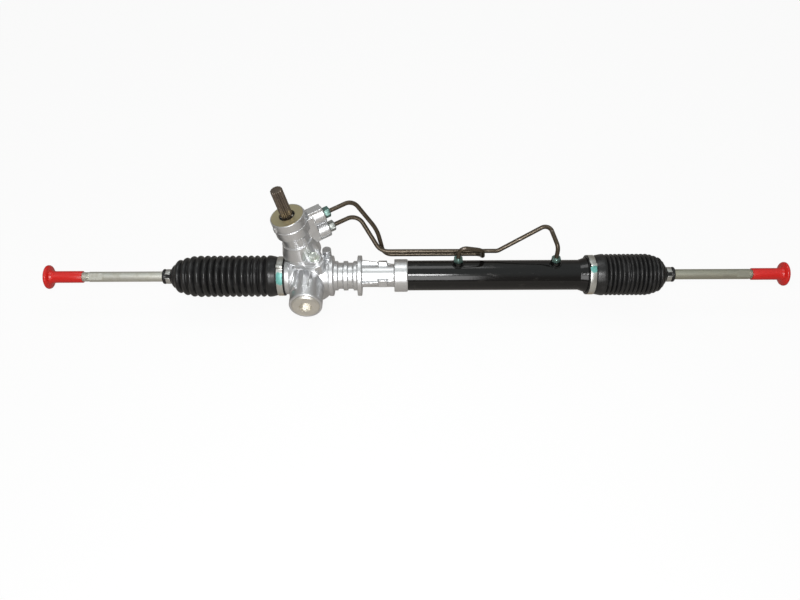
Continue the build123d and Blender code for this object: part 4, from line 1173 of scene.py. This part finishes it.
@dataclass
class Bellows:
    """Rubber bellows in a fixed cuff, with folds and an end at the tie rod."""

    size: BellowsSize
    tree: Growth
    cuff_inner: float = 25.6
    cuff_outer: float = 28.0
    lip_radius: float = 28.8
    neck_radius: float = 9.4
    neck_inner: float = 7.8
    wall: float = 1.3
    steps: int = 112
    fold_rows: int = 14

    def x(self, out: float) -> float:
        """X of a distance outwards from the lip."""
        return self.size.lip + self.size.side.value * out

    def folds(
        self, start: float, end: float, name: str, bodies: tuple[str, str], window: Point
    ) -> None:
        """One stretch of folds.

        Args:
            start: where it starts, outwards from the lip.
            end: where it ends.
            name: the piece's name.
            bodies: two bodies, passed on to the placing step.
            window: a span outwards from the lip, passed on with them.
        """
        size = self.size
        mesh = self.tree.grow(
            Start=start, End=end, First_Crest=size.first_crest, Pitch=size.pitch,
            Even_Folds=size.even_folds, End_Pitch=size.end_pitch, Crest=size.crest, Depth=size.depth,
            Shrink_Start=size.shrink_start, Shrink_Length=size.neck - size.shrink_start,
            Shrink=size.shrink, Rows=max(8, round((end - start) / size.pitch * self.fold_rows)),
            Steps=self.steps, Material=RUBBER.material(),
        )
        self.bend(self.shelled(mesh), name, bodies, window)

    def shelled(self, mesh: bpy.types.Mesh) -> bpy.types.Mesh:
        """Gives a sleeve along local X its wall, and puts it in place.

        Args:
            mesh: the sleeve's outer skin, in millimetres from the lip.

        Returns:
            A closed mesh.
        """
        turn = Matrix.Diagonal((self.size.side.value * MM, MM, MM, 1.0))
        mesh.transform(Matrix.Translation((self.size.lip * MM, 0, 0)) @ turn)
        made = bmesh.new()
        made.from_mesh(mesh)
        bmesh.ops.recalc_face_normals(made, faces=made.faces)
        outer = made.faces[:]
        middle = outer[0].calc_center_median()
        if outer[0].normal.dot(Vector((0, middle.y, middle.z))) < 0:
            bmesh.ops.reverse_faces(made, faces=outer)
        made.to_mesh(mesh)
        made.free()
        piece = helper(mesh)
        wall = piece.modifiers.new("wall", "SOLIDIFY")
        wall.thickness, wall.offset, wall.use_even_offset = self.wall * MM, -1.0, False
        return baked(piece)

    def bend(
        self, mesh: bpy.types.Mesh, name: str, bodies: tuple[str, str], window: Point
    ) -> None:
        """Places a sleeve on no body, with its placing baked into its mesh.

        Args:
            mesh: the sleeve.
            name: the piece's name.
            bodies: not used.
            window: a span outwards from the lip, whose two ends are worked out but not used.
        """
        piece = placed(mesh, name, RUBBER, "")
        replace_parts(piece, f"{self.size.side.word}_bellows")
        start, end = ((self.x(out) * MM, 0.0, 0.0) for out in window)
        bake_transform(piece)

    def cuff(self) -> None:
        """The fixed end, with its lip."""
        size, word = self.size, self.size.side.word
        outer, lip, crest = self.cuff_outer, self.lip_radius, size.first_crest
        slope = softened([
            (11.9, outer - 0.2), (12.2, outer + 0.3), (15.5, size.crest - 1.3),
            (crest - 3.0, size.crest - 0.1), (crest - 0.3, size.crest + 0.02),
            (crest + 0.6, size.crest - 1.4),
        ])
        rows = [
            (0.4, self.cuff_inner), (0.0, self.cuff_inner + 0.5), (0.0, lip - 0.6), (0.4, lip), (1.2, lip),
            (1.5, lip - 0.6), (1.6, outer - 0.2), *slope, (crest, self.cuff_inner), (0.4, self.cuff_inner),
        ]
        rows = [(self.x(out), radius, 0.0) for out, radius in rows]
        mesh = lathe(rows, RACK_SEAT, steps=self.steps)
        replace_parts(placed(mesh, f"{word}_bellows_cuff", RUBBER, "root"), f"{word}_bellows")

    def neck(self) -> None:
        """The small end that grips the tie rod."""
        size, word = self.size, self.size.side.word
        rim, shoulder = size.length - 4.0, size.crest - size.shrink
        bend, neck, radius, bead = size.bend - 0.5, size.neck, self.neck_radius, self.neck_radius + 1.4
        outer = softened([
            (bend, shoulder - 1.6), (neck - 4.0, shoulder - 2.2), (neck - 1.0, shoulder - 6.0),
            (neck - 0.4, radius + 1.2), (neck, radius), (neck + 0.8, radius), (rim - 0.1, radius),
            (rim, bead - 0.2), (rim + 1.6, bead + 0.3), (size.length - 0.6, bead),
            (size.length, bead - 1.6), (size.length, self.neck_inner),
        ])
        inner = [
            (neck, self.neck_inner), (neck - 1.5, radius), (neck - 4.0, shoulder - 5.0),
            (bend, shoulder - 3.2),
        ]
        rows = [(self.x(out), radius, 0.0) for out, radius in [*outer, *inner]]
        mesh = lathe([*rows, rows[0]], RACK_SEAT, steps=self.steps)
        bodies = (f"{word}_ball_seat", f"{word}_tie_rod")
        self.bend(mesh, f"{word}_bellows_neck", bodies, (size.bend - 2.0, size.length - 4.0))

    def build(self) -> None:
        """Makes the whole bellows."""
        size, word = self.size, self.size.side.word
        self.cuff()
        first, split, bodies = size.first_crest - 0.4, size.split + 1.2, ("root", "rack")
        self.folds(first, split, f"{word}_bellows_folds", bodies, size.travel_window)
        bodies = ("rack", f"{word}_ball_seat")
        window = (size.split - 6.0, size.bend)
        self.folds(size.split, size.bend, f"{word}_bellows_end", bodies, window)
        self.neck()


@dataclass
class BandClamp:
    """Wide band clamp with a crimped ear."""

    side: Side
    middle: float
    dab: tuple[float, float, float, float]
    radius: float = 28.55
    width: float = 8.6
    thick: float = 0.9
    ear_turn: float = 108.0
    ear: tuple[Point, ...] = (
        (-5.8, 0.0), (-3.8, 0.1), (-2.7, 0.8), (-2.1, 2.0), (-2.6, 3.4), (0.0, 4.1), (2.6, 3.4),
        (2.1, 2.0), (2.7, 0.8), (3.8, 0.1), (5.8, 0.0),
    )

    def build(self) -> None:
        """Makes the band."""
        gap = math.degrees(self.ear[-1][0] / self.radius)
        turns = np.linspace(self.ear_turn + gap, self.ear_turn + 360 - gap, 110)[1:-1]
        path = [polar(turn, self.radius) for turn in turns]
        up = Vector(polar(self.ear_turn))
        aside = Vector((-up.y, up.x))
        for along, out in softened(self.ear, 2):
            sag = math.sqrt(self.radius**2 - along**2)
            point = up * (sag + out) + aside * along
            path.append((point.x, point.y))
        name = f"{self.side.word}_band_steel"
        finish = BandSteel(name, "bright_steel", (0.68, 0.69, 0.66), dab=self.dab)
        mesh = strip(path, self.width, self.thick, self.middle, True)
        piece = placed(mesh, f"{self.side.word}_band_clamp", finish, "root")
        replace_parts(piece, f"{self.side.word}_large_clamp")


@dataclass
class SpringClip:
    """Spring clip on a bellows' neck, with two ears to squeeze."""

    side: Side
    middle: float
    radius: float = 10.25
    width: float = 6.6
    thick: float = 1.1
    ear_turn: float = 133.0
    spread: float = 18.0
    ear: float = 13.2
    flare: float = 4.0

    def build(self) -> None:
        """Makes the clip."""
        first, last = self.ear_turn - self.spread, self.ear_turn + self.spread - 360.0
        turns = np.linspace(first, last, 60)
        ring = [polar(turn, self.radius) for turn in turns]
        tips = [polar(turn, self.ear) for turn in (first + self.flare, last - self.flare)]
        path = softened([tips[0], *ring, tips[1]], 1)
        mesh = strip(path, self.width, self.thick, self.middle, False)
        word = self.side.word
        dab = (0.0, 0.0, -900.0, 1.0)
        finish = BandSteel(f"{word}_clip_steel", "bright_steel", (0.62, 0.62, 0.60), dab=dab)
        piece = placed(mesh, f"{word}_spring_clip", finish, f"{word}_tie_rod")
        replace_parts(piece, f"{word}_small_clip")


@dataclass
class TieRod:
    """Tie rod with its ball, wrench flats and thread, and the red cap over the thread."""

    side: Side
    ball: float
    rod_length: float
    thread_length: float
    cap_gap: float
    finish: Finish = ROD_STEEL
    ball_radius: float = 12.5
    neck: float = 5.5
    radius: float = 7.5
    thread_radius: float = 7.0
    thread_pitch: float = 1.5
    wrench: float = 12.0
    wrench_turn: float = 133.0
    wrench_length: float = 20.0
    cap_radius: float = 8.65
    disc_radius: float = 17.5
    cap_length: float = 50.0

    def x(self, out: float) -> float:
        """X of a distance outwards from the ball."""
        return self.ball + self.side.value * out

    def rod(self) -> None:
        """The forged and turned rod."""
        shoulder = math.asin(self.neck / self.ball_radius)
        rows: list[Row] = []
        for turn in np.linspace(math.pi, shoulder, 25):
            reach, radius = self.ball_radius * math.cos(turn), self.ball_radius * math.sin(turn)
            rows.append((self.x(reach), radius, 0.0))
        flats, end = self.rod_length, self.rod_length + self.wrench_length
        tip = end + self.thread_length
        core = self.thread_radius - 1.0
        for out, radius, across in (
            (17.0, self.neck, 0), (20.0, 5.9, 0), (23.5, 7.1, 0), (26.0, self.radius, 0),
            (flats - 0.9, self.radius, 0), (flats, self.radius, 0), (flats, self.radius, self.wrench),
            (end, self.radius, self.wrench), (end, self.radius - 0.1, 0), (end + 0.3, self.radius - 0.4, 0),
            (end + 1.0, core, 0), (tip - 0.8, core, 0), (tip, core - 0.7, 0),
        ):
            rows.append((self.x(out), radius, across))
        mesh = lathe(rows, seat((0, 0, 0), (1, 0, 0), (0, *polar(self.wrench_turn))), sides=2)
        word = self.side.word
        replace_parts(placed(mesh, f"{word}_rod", self.finish, f"{word}_tie_rod"), f"{word}_tie_rod")

    def thread(self, tree: Growth) -> None:
        """The screw thread at the rod's end.

        Args:
            tree: the tree that grows ridged rods.
        """
        start = self.rod_length + self.wrench_length + 0.6
        length, pitch = self.thread_length - 0.8, self.thread_pitch
        mesh = tree.grow(
            Radius=self.thread_radius, Depth=0.85, Length=length, Pitch=pitch, Ridges=-1.0,
            Runout=pitch, Rows=round(length / pitch * 7), Steps=56, Material=self.finish.material(),
        )
        turn = Matrix.Rotation(math.pi if self.side is Side.LEFT else 0.0, 4, "Z")
        mesh.transform(Matrix.Translation((self.x(start) * MM, 0, 0)) @ turn @ Matrix.Scale(MM, 4))
        word = self.side.word
        piece = placed(outward(mesh), f"{word}_rod_thread", self.finish, f"{word}_tie_rod")
        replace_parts(piece, f"{word}_tie_rod")

    def cap(self) -> None:
        """The push-on cap with its round end disc."""
        mouth = self.rod_length + self.wrench_length + self.cap_gap
        end = mouth + self.cap_length
        inner = self.thread_radius + 0.1
        tip = self.rod_length + self.wrench_length + self.thread_length + 0.4
        barrel, disc = self.cap_radius, self.disc_radius
        outline = [
            (mouth, inner), (mouth, barrel - 0.3), (mouth + 0.4, barrel), (end - 13.0, barrel),
            (end - 8.0, barrel + 0.8), (end - 6.0, barrel + 2.2), (end - 5.2, disc - 2.4),
            (end - 4.6, disc - 0.8), (end - 3.4, disc - 0.1), (end - 2.2, disc), (end - 0.9, disc - 0.3),
            (end - 0.2, disc - 1.3), (end, disc - 4.0), (end, 6.0), (end - 0.5, 5.4), (end - 0.6, 0.0),
            (tip, 0.0), (tip, inner), (mouth, inner),
        ]
        mesh = lathe([(self.x(out), radius, 0.0) for out, radius in outline], RACK_SEAT)
        piece = placed(mesh, f"{self.side.word}_red_cap", RED, f"{self.side.word}_cap", 40.0)
        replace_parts(piece, f"{self.side.word}_thread_cap")

    def build(self, tree: Growth) -> None:
        """Makes rod, thread and cap.

        Args:
            tree: the tree that grows ridged rods.
        """
        self.rod()
        self.thread(tree)
        self.cap()


@dataclass
class Tower:
    """Input shaft, flange bolts and nuts of the pinion tower."""

    journal: float = 9.0
    spline_foot: float = 104.0
    spline_radius: float = 8.5
    spline_depth: float = 1.1
    top: float = 151.5
    splines: int = 14
    lug_circle: float = 31.0
    lug_turn: float = -46.0
    bolt_seat: float = 39.0
    bolt_head: float = 13.0
    nut_across: float = 14.0
    nut_length: float = 9.0
    port_turn: float = 24.0
    port_reach: float = 49.0
    port_heights: tuple[float, float] = (56.5, 82.5)

    def around(self, turn: float, height: float, reach: float = 0.0) -> tuple[Vector, Vector]:
        """A point round the tower and the way out there, in millimetres.

        Args:
            turn: degrees round the axis, from the right to the back.
            height: height along the tower.
            reach: distance from its axis.

        Returns:
            The point and the unit vector out to it.
        """
        across, back = polar(turn)
        out = TOWER_SIDE * across + Vector((0, back, 0))
        return TOWER_FOOT + TOWER_AXIS * height + out * reach, out

    def shaft(self, tree: Growth) -> None:
        """The input shaft with its splines and centre hole.

        Args:
            tree: the tree that grows ridged rods.
        """
        core = self.spline_radius - self.spline_depth
        top, journal = self.top - 0.2, self.journal
        rows = [
            (47.5, 3.0), (47.5, 9.4), (47.6, 9.55), (82.0, 9.55), (82.0, journal), (100.0, journal),
            (101.5, core), (top - 0.2, core), (top, core - 0.4), (top, 4.2), (top - 1.6, 2.5), (134.0, 2.5),
            (134.0, 3.0), (47.5, 3.0),
        ]
        body = lathe([(reach, radius, 0.0) for reach, radius in rows], TOWER_SEAT)
        piece = placed(body, "input_shaft_core", SHAFT_STEEL, "input_shaft")
        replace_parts(piece, "input_shaft")
        ridges = tree.grow(
            Radius=self.spline_radius, Depth=self.spline_depth, Length=self.top - self.spline_foot,
            Pitch=1e6, Ridges=float(self.splines), Runout=1.0, Rows=70, Steps=self.splines * 10 + 1,
            Material=SHAFT_STEEL.material(),
        )
        ridges.transform(TOWER_SEAT @ Matrix.Translation((self.spline_foot, 0, 0)))
        piece = placed(outward(ridges), "input_shaft_splines", SHAFT_STEEL, "input_shaft")
        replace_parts(piece, "input_shaft")

    def bolts(self) -> None:
        """The two flanged hex bolts."""
        for number, turn in enumerate((self.lug_turn, self.lug_turn + 180.0), start=1):
            foot, out = self.around(turn, self.bolt_seat, self.lug_circle)
            across, corner = self.bolt_head - 1.6, 7.4
            rows = [
                (-25.0, 3.9, 0), (0.0, 3.9, 0), (0.0, 7.3, 0), (0.9, 7.5, 0), (1.3, 7.1, 0),
                (1.9, 6.6, 0), (1.9, corner, across), (6.2, corner, across), (7.3, 5.9, across),
                (7.3, 4.6, 0), (6.7, 4.1, 0),
            ]
            mesh = lathe(rows, seat(foot, TOWER_AXIS, out), steps=72)
            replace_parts(placed(mesh, f"flange_bolt_{number}", BOLT_STEEL, "root"), "valve_housing_bolts")

    def nuts(self) -> None:
        """The two flare nuts in the line ports."""
        ports = zip(self.port_heights, (NUT_STEEL, TEAL_NUT))
        for number, (height, finish) in enumerate(ports, start=1):
            foot, out = self.around(self.port_turn, height, self.port_reach)
            mesh = flare_nut(seat(foot, out, TOWER_AXIS), self.nut_across, self.nut_length)
            nut = placed(mesh, f"valve_line_nut_{number}", finish, "root")
            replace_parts(nut, "valve_line_nuts")

    def build(self, tree: Growth) -> None:
        """Makes the tower's loose pieces.

        Args:
            tree: the tree that grows ridged rods.
        """
        self.shaft(tree)
        self.bolts()
        self.nuts()


def flare_nut(place: Matrix, across: float, length: float) -> bpy.types.Mesh:
    """A chamfered hex nut round a line.

    Args:
        place: its seat, with the middle of one flat along local Y.
        across: its size across flats.
        length: its length.

    Returns:
        A closed mesh.
    """
    half = across / 2
    corner = half / math.cos(math.pi / 6) + 0.2
    rows = [
        (0.0, 3.3, 0), (0.0, half - 0.3, across), (0.8, corner, across), (length - 1.4, corner, across),
        (length - 0.6, half - 0.2, across), (length - 0.5, half - 1.6, 0), (length, half - 1.9, 0),
        (length, 3.3, 0), (0.0, 3.3, 0),
    ]
    return lathe(rows, place, steps=72)


@dataclass
class SteelLine:
    """Steel line bent along a route of straight runs."""

    side: Side
    route: Sequence[Vector]
    bends: Sequence[float]
    radius: float = 3.15
    steps: int = 28

    def bent(self) -> list[Vector]:
        """The route with its corners rounded; each bend takes no more than its share of a run.

        Returns:
            Points along the line.
        """
        line = [self.route[0]]
        for i, bend in enumerate(self.bends, start=1):
            before, corner, after = self.route[i - 1 : i + 2]
            back, on = before - corner, after - corner
            half = (math.pi - back.angle(on)) / 2
            reach = min(bend * math.tan(half), back.length * 0.48, on.length * 0.48)
            back, on = back.normalized(), on.normalized()
            round_ = reach / math.tan(half)
            centre = corner + (back + on).normalized() * math.hypot(round_, reach)
            first = corner + back * reach - centre
            turn = first.cross(corner + on * reach - centre)
            count = max(4, round(2 * half / math.radians(6)))
            line += [centre + Quaternion(turn, 2 * half * k / count) @ first for k in range(count + 1)]
        return [*line, self.route[-1]]

    def build(self) -> None:
        """Makes the line."""
        line = self.bent()
        run = (line[1] - line[0]).normalized()
        aside = run.orthogonal().normalized()
        rings = []
        for i, point in enumerate(line):
            after = (line[min(i + 1, len(line) - 1)] - line[max(i - 1, 0)]).normalized()
            aside = run.rotation_difference(after) @ aside
            run = after
            turns = (Quaternion(run, 2 * math.pi * k / self.steps) @ aside for k in range(self.steps))
            rings.append([(point + way * self.radius) * MM for way in turns])
        word = self.side.word
        piece = placed(loft(rings, "line"), f"{word}_steel_line", LINE, "root")
        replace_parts(piece, f"{word}_cylinder_line")


@dataclass
class Cylinder:
    """Steel lines of the power cylinder, with the nuts and weld beads at its two ports."""

    ports: Point = (163.4, 304.5)
    lean: float = 4.0
    boss: float = 27.0
    rise: float = 52.0
    first_run: float = 45.0
    left_route: tuple[Row, ...] = (
        (46.3, 40.1, 53.9), (55.5, 30.5, 14.1), (197.4, 30.5, 14.1), (200.55, 17.5, 21.8),
        (197.4, 5.0, 45.0),
    )
    left_bends: tuple[float, ...] = (16.0, 60.0, 14.0, 11.0, 11.0, 11.0, 11.0)
    right_route: tuple[Row, ...] = ((51.0, 22.3, 27.7), (222.0, 22.3, 27.7), (294.0, 38.0, 66.0))
    right_bends: tuple[float, ...] = (18.0, 20.0, 11.0, 11.0, 11.0)
    tube: float = 22.0
    bead: float = 7.9
    bead_radius: float = 1.3
    ripple: float = 0.14
    nut_across: float = 12.0
    nut_length: float = 7.0

    def port(self, x: float, height: float) -> tuple[Vector, Vector]:
        """A point on a port's axis and the way the port points."""
        out = Vector((0, *reversed(polar(self.lean))))
        return Vector((x, 0, 0)) + out * height, out

    def lines(self, tower: "Tower") -> None:
        """The two steel lines from the valve.

        Args:
            tower: the tower that they leave, the left line from its upper port.
        """
        lines = (
            (Side.LEFT, self.left_route, self.left_bends),
            (Side.RIGHT, self.right_route, self.right_bends),
        )
        for (side, middle, bends), height, x in zip(lines, reversed(tower.port_heights), self.ports):
            reaches = (tower.port_reach, tower.port_reach + self.first_run)
            start = [tower.around(tower.port_turn, height, reach)[0] for reach in reaches]
            end = [self.port(x, high)[0] for high in (self.rise, self.boss)]
            SteelLine(side, (*start, *(Vector(point) for point in middle), *end), bends).build()

    def build(self, tower: "Tower") -> None:
        """Makes the lines, nuts and beads.

        Args:
            tower: the tower that the lines leave.
        """
        self.lines(tower)
        for number, x in enumerate(self.ports, start=1):
            place = seat(*self.port(x, self.boss), (1, 0, 0))
            mesh = flare_nut(place, self.nut_across, self.nut_length)
            nut = placed(mesh, f"cylinder_line_nut_{number}", TEAL_NUT, "root")
            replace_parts(nut, "cylinder_line_nuts")
            self.weld(f"port_weld_{number}", x)

    def weld(self, name: str, x: float) -> None:
        """A rippled bead round a boss, lying on the tube.

        Args:
            name: the piece's name.
            x: the port's X.
        """
        rings = []
        for turn in range(0, 360, 5):
            along, aside = polar(turn, self.bead)
            foot, out = self.port(x, math.sqrt(self.tube**2 - aside**2))
            flat = (Vector((along, 0, 0)) + Vector((0, -out.z, out.y)) * aside) / self.bead
            radius = self.bead_radius + self.ripple * math.cos(math.radians(turn * 18))
            round_ = (polar(part, radius) for part in range(0, 360, 36))
            middle = foot + flat * self.bead
            rings.append([(middle + flat * across + out * high) * MM for across, high in round_])
        placed(loft(rings, name, False), name, BLACK_PAINT, "root")


@dataclass
class Studio:
    """Pale floor, soft lights and the camera of the photograph."""

    aim_x: float = 79.1
    drop: float = 36.0
    elevation: float = 47.0
    distance: float = 1064.0
    lens: float = 32.58
    roll: float = 0.25
    floor_size: float = 6.0
    lamps: tuple[tuple[str, Point, float, Point, float], ...] = (
        ("flash", (0.05, -0.74), 0.84, (0.34, 0.18), 4.9),
        ("front", (0.05, -0.95), 0.44, (0.5, 0.56), 3.2),
        ("window", (-0.9, -0.5), 1.1, (0.5, 0.9), 0.8),
        ("ceiling", (0.05, 0.42), 1.25, (0.6, 0.5), 1.9),
    )
    aim: Row = (0.1, 0.0, 0.0)
    mirrored: float = 0.1
    wall: Colour = (0.16, 0.14, 0.12)
    overhead: Colour = (0.46, 0.49, 0.48)
    white: Colour = (1.0, 1.0, 1.0)
    ground: Colour = (0.36, 0.32, 0.28)
    paper: Colour = (0.96, 0.96, 0.96)
    dust: Colour = (0.8, 0.8, 0.8)
    glow: float = 0.92

    def camera(self) -> None:
        """Looks down at the rack from the front."""
        rise = math.radians(self.elevation)
        back = Vector((0, -math.cos(rise), math.sin(rise)))
        up = Vector((0, math.sin(rise), math.cos(rise)))
        data = bpy.data.cameras.new("camera")
        data.lens, data.sensor_width = self.lens, 36.0
        data.clip_start, data.clip_end = 0.01, 100.0
        camera = linked("camera", data)
        camera.rotation_mode = "QUATERNION"
        roll = Quaternion((0, 0, 1), -math.radians(self.roll))
        camera.rotation_quaternion = (-back).to_track_quat("-Z", "Y") @ roll
        camera.location = (Vector((self.aim_x, 0, 0)) - up * self.drop + back * self.distance) * MM
        bpy.context.scene.camera = camera

    def light(self, name: str, place: Point, height: float, size: Point, power: float) -> None:
        """A soft lamp that looks at the middle of the rack.

        Args:
            name: the lamp's name.
            place: its X and Y in metres.
            height: its Z.
            size: its width and depth.
            power: its strength in watts.
        """
        data = bpy.data.lights.new(name, "AREA")
        data.shape, data.size, data.size_y, data.energy = "RECTANGLE", *size, power
        lamp = linked(name, data)
        lamp.location = (*place, height)
        lamp.rotation_mode = "QUATERNION"
        lamp.rotation_quaternion = (Vector(self.aim) - lamp.location).to_track_quat("-Z", "Y")

    def seen(self, net: Net) -> Sock:
        """1 where the camera looks, and a share where a glossy or transmission ray does.

        Args:
            net: the tree to add it to.

        Returns:
            The share.
        """
        names = ("Is Camera Ray", "Is Glossy Ray", "Is Transmission Ray")
        straight, glossy, through = net.spread("ShaderNodeLightPath", names)
        return (straight + (glossy + through) * self.mirrored).math("MINIMUM", 1.0)

    def world(self) -> None:
        """A soft room, bright overhead and brown towards the walls, white behind the object."""
        world = bpy.data.worlds.new("studio")
        bpy.context.scene.world = world
        world.use_nodes = True
        world.node_tree.nodes.clear()
        net = Net(world.node_tree)
        look = net.node("ShaderNodeTexCoord", out="Generated")
        height = net.spread("ShaderNodeSeparateXYZ", (2,), look)[0].step(0.35, 0.95)
        room = net.mix(height, self.wall, self.overhead)
        shown = net.mix(self.seen(net), room, self.white)
        shade = net.node("ShaderNodeBackground", {"Color": shown, "Strength": 1.0})
        net.node("ShaderNodeOutputWorld", {0: shade})

    def floor(self, height: float) -> None:
        """The floor under the object, which keeps a faint shadow.

        Args:
            height: its Z in metres.
        """
        net = Paint("studio_floor")
        seen = self.seen(net)
        tone = net.mix(seen, self.ground, self.paper)
        tone = net.mix(net.noise(300.0) * 0.02, tone, self.dust)
        matt = net.node("ShaderNodeBsdfDiffuse", {"Color": tone})
        glow = net.node("ShaderNodeEmission", {"Color": (*self.white, 1.0), "Strength": 1.0})
        shade = net.node("ShaderNodeMixShader", {0: seen * self.glow, 1: matt, 2: glow})
        net.node("ShaderNodeOutputMaterial", {0: shade})
        half = self.floor_size / 2
        corners = [(x * half, y * half, height) for x, y in ((-1, -1), (1, -1), (1, 1), (-1, 1))]
        mesh = bpy.data.meshes.new("floor")
        mesh.from_pydata(corners, [], [(0, 1, 2, 3)])
        mesh.materials.append(net.material)
        floor = linked("floor", mesh)

    def build(self, low: float) -> None:
        """Sets up camera, lights, world and floor.

        Args:
            low: the object's lowest Z in metres, where the floor goes.
        """
        bpy.context.scene.view_settings.view_transform = "Standard"
        self.camera()
        for lamp in self.lamps:
            self.light(*lamp)
        self.world()
        self.floor(low)


def main() -> None:
    """Builds every sub-assembly in order."""
    logging.basicConfig(level=logging.INFO, format="%(name)s %(message)s")
    for finish, nodes in CARRIED.items():
        for node in nodes:
            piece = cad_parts[node]
            piece.data.materials.clear()
            piece.data.materials.append(finish.material())
    tower = Tower()
    Castings().build(tower)
    rods, sleeves = ridged_rod(), folded_sleeve()
    for size in BELLOWS:
        Bellows(size, sleeves).build()
    BandClamp(Side.LEFT, -94.0, (-93.0, -22.8, 17.3, 10.5)).build()
    BandClamp(Side.RIGHT, 357.0, (357.5, -13.5, 25.0, 6.5)).build()
    SpringClip(Side.LEFT, -259.3).build()
    SpringClip(Side.RIGHT, 472.3).build()
    TieRod(Side.LEFT, -216.0, 140.0, 53.0, 10.0, cap_length=52.5).build(rods)
    TieRod(Side.RIGHT, 429.0, 142.5, 46.0, 3.5, DULL_ROD).build(rods)
    tower.build(rods)
    Cylinder().build(tower)
    Studio().build(CAD_BOX[0][2])


if __name__ == "__main__":
    main()
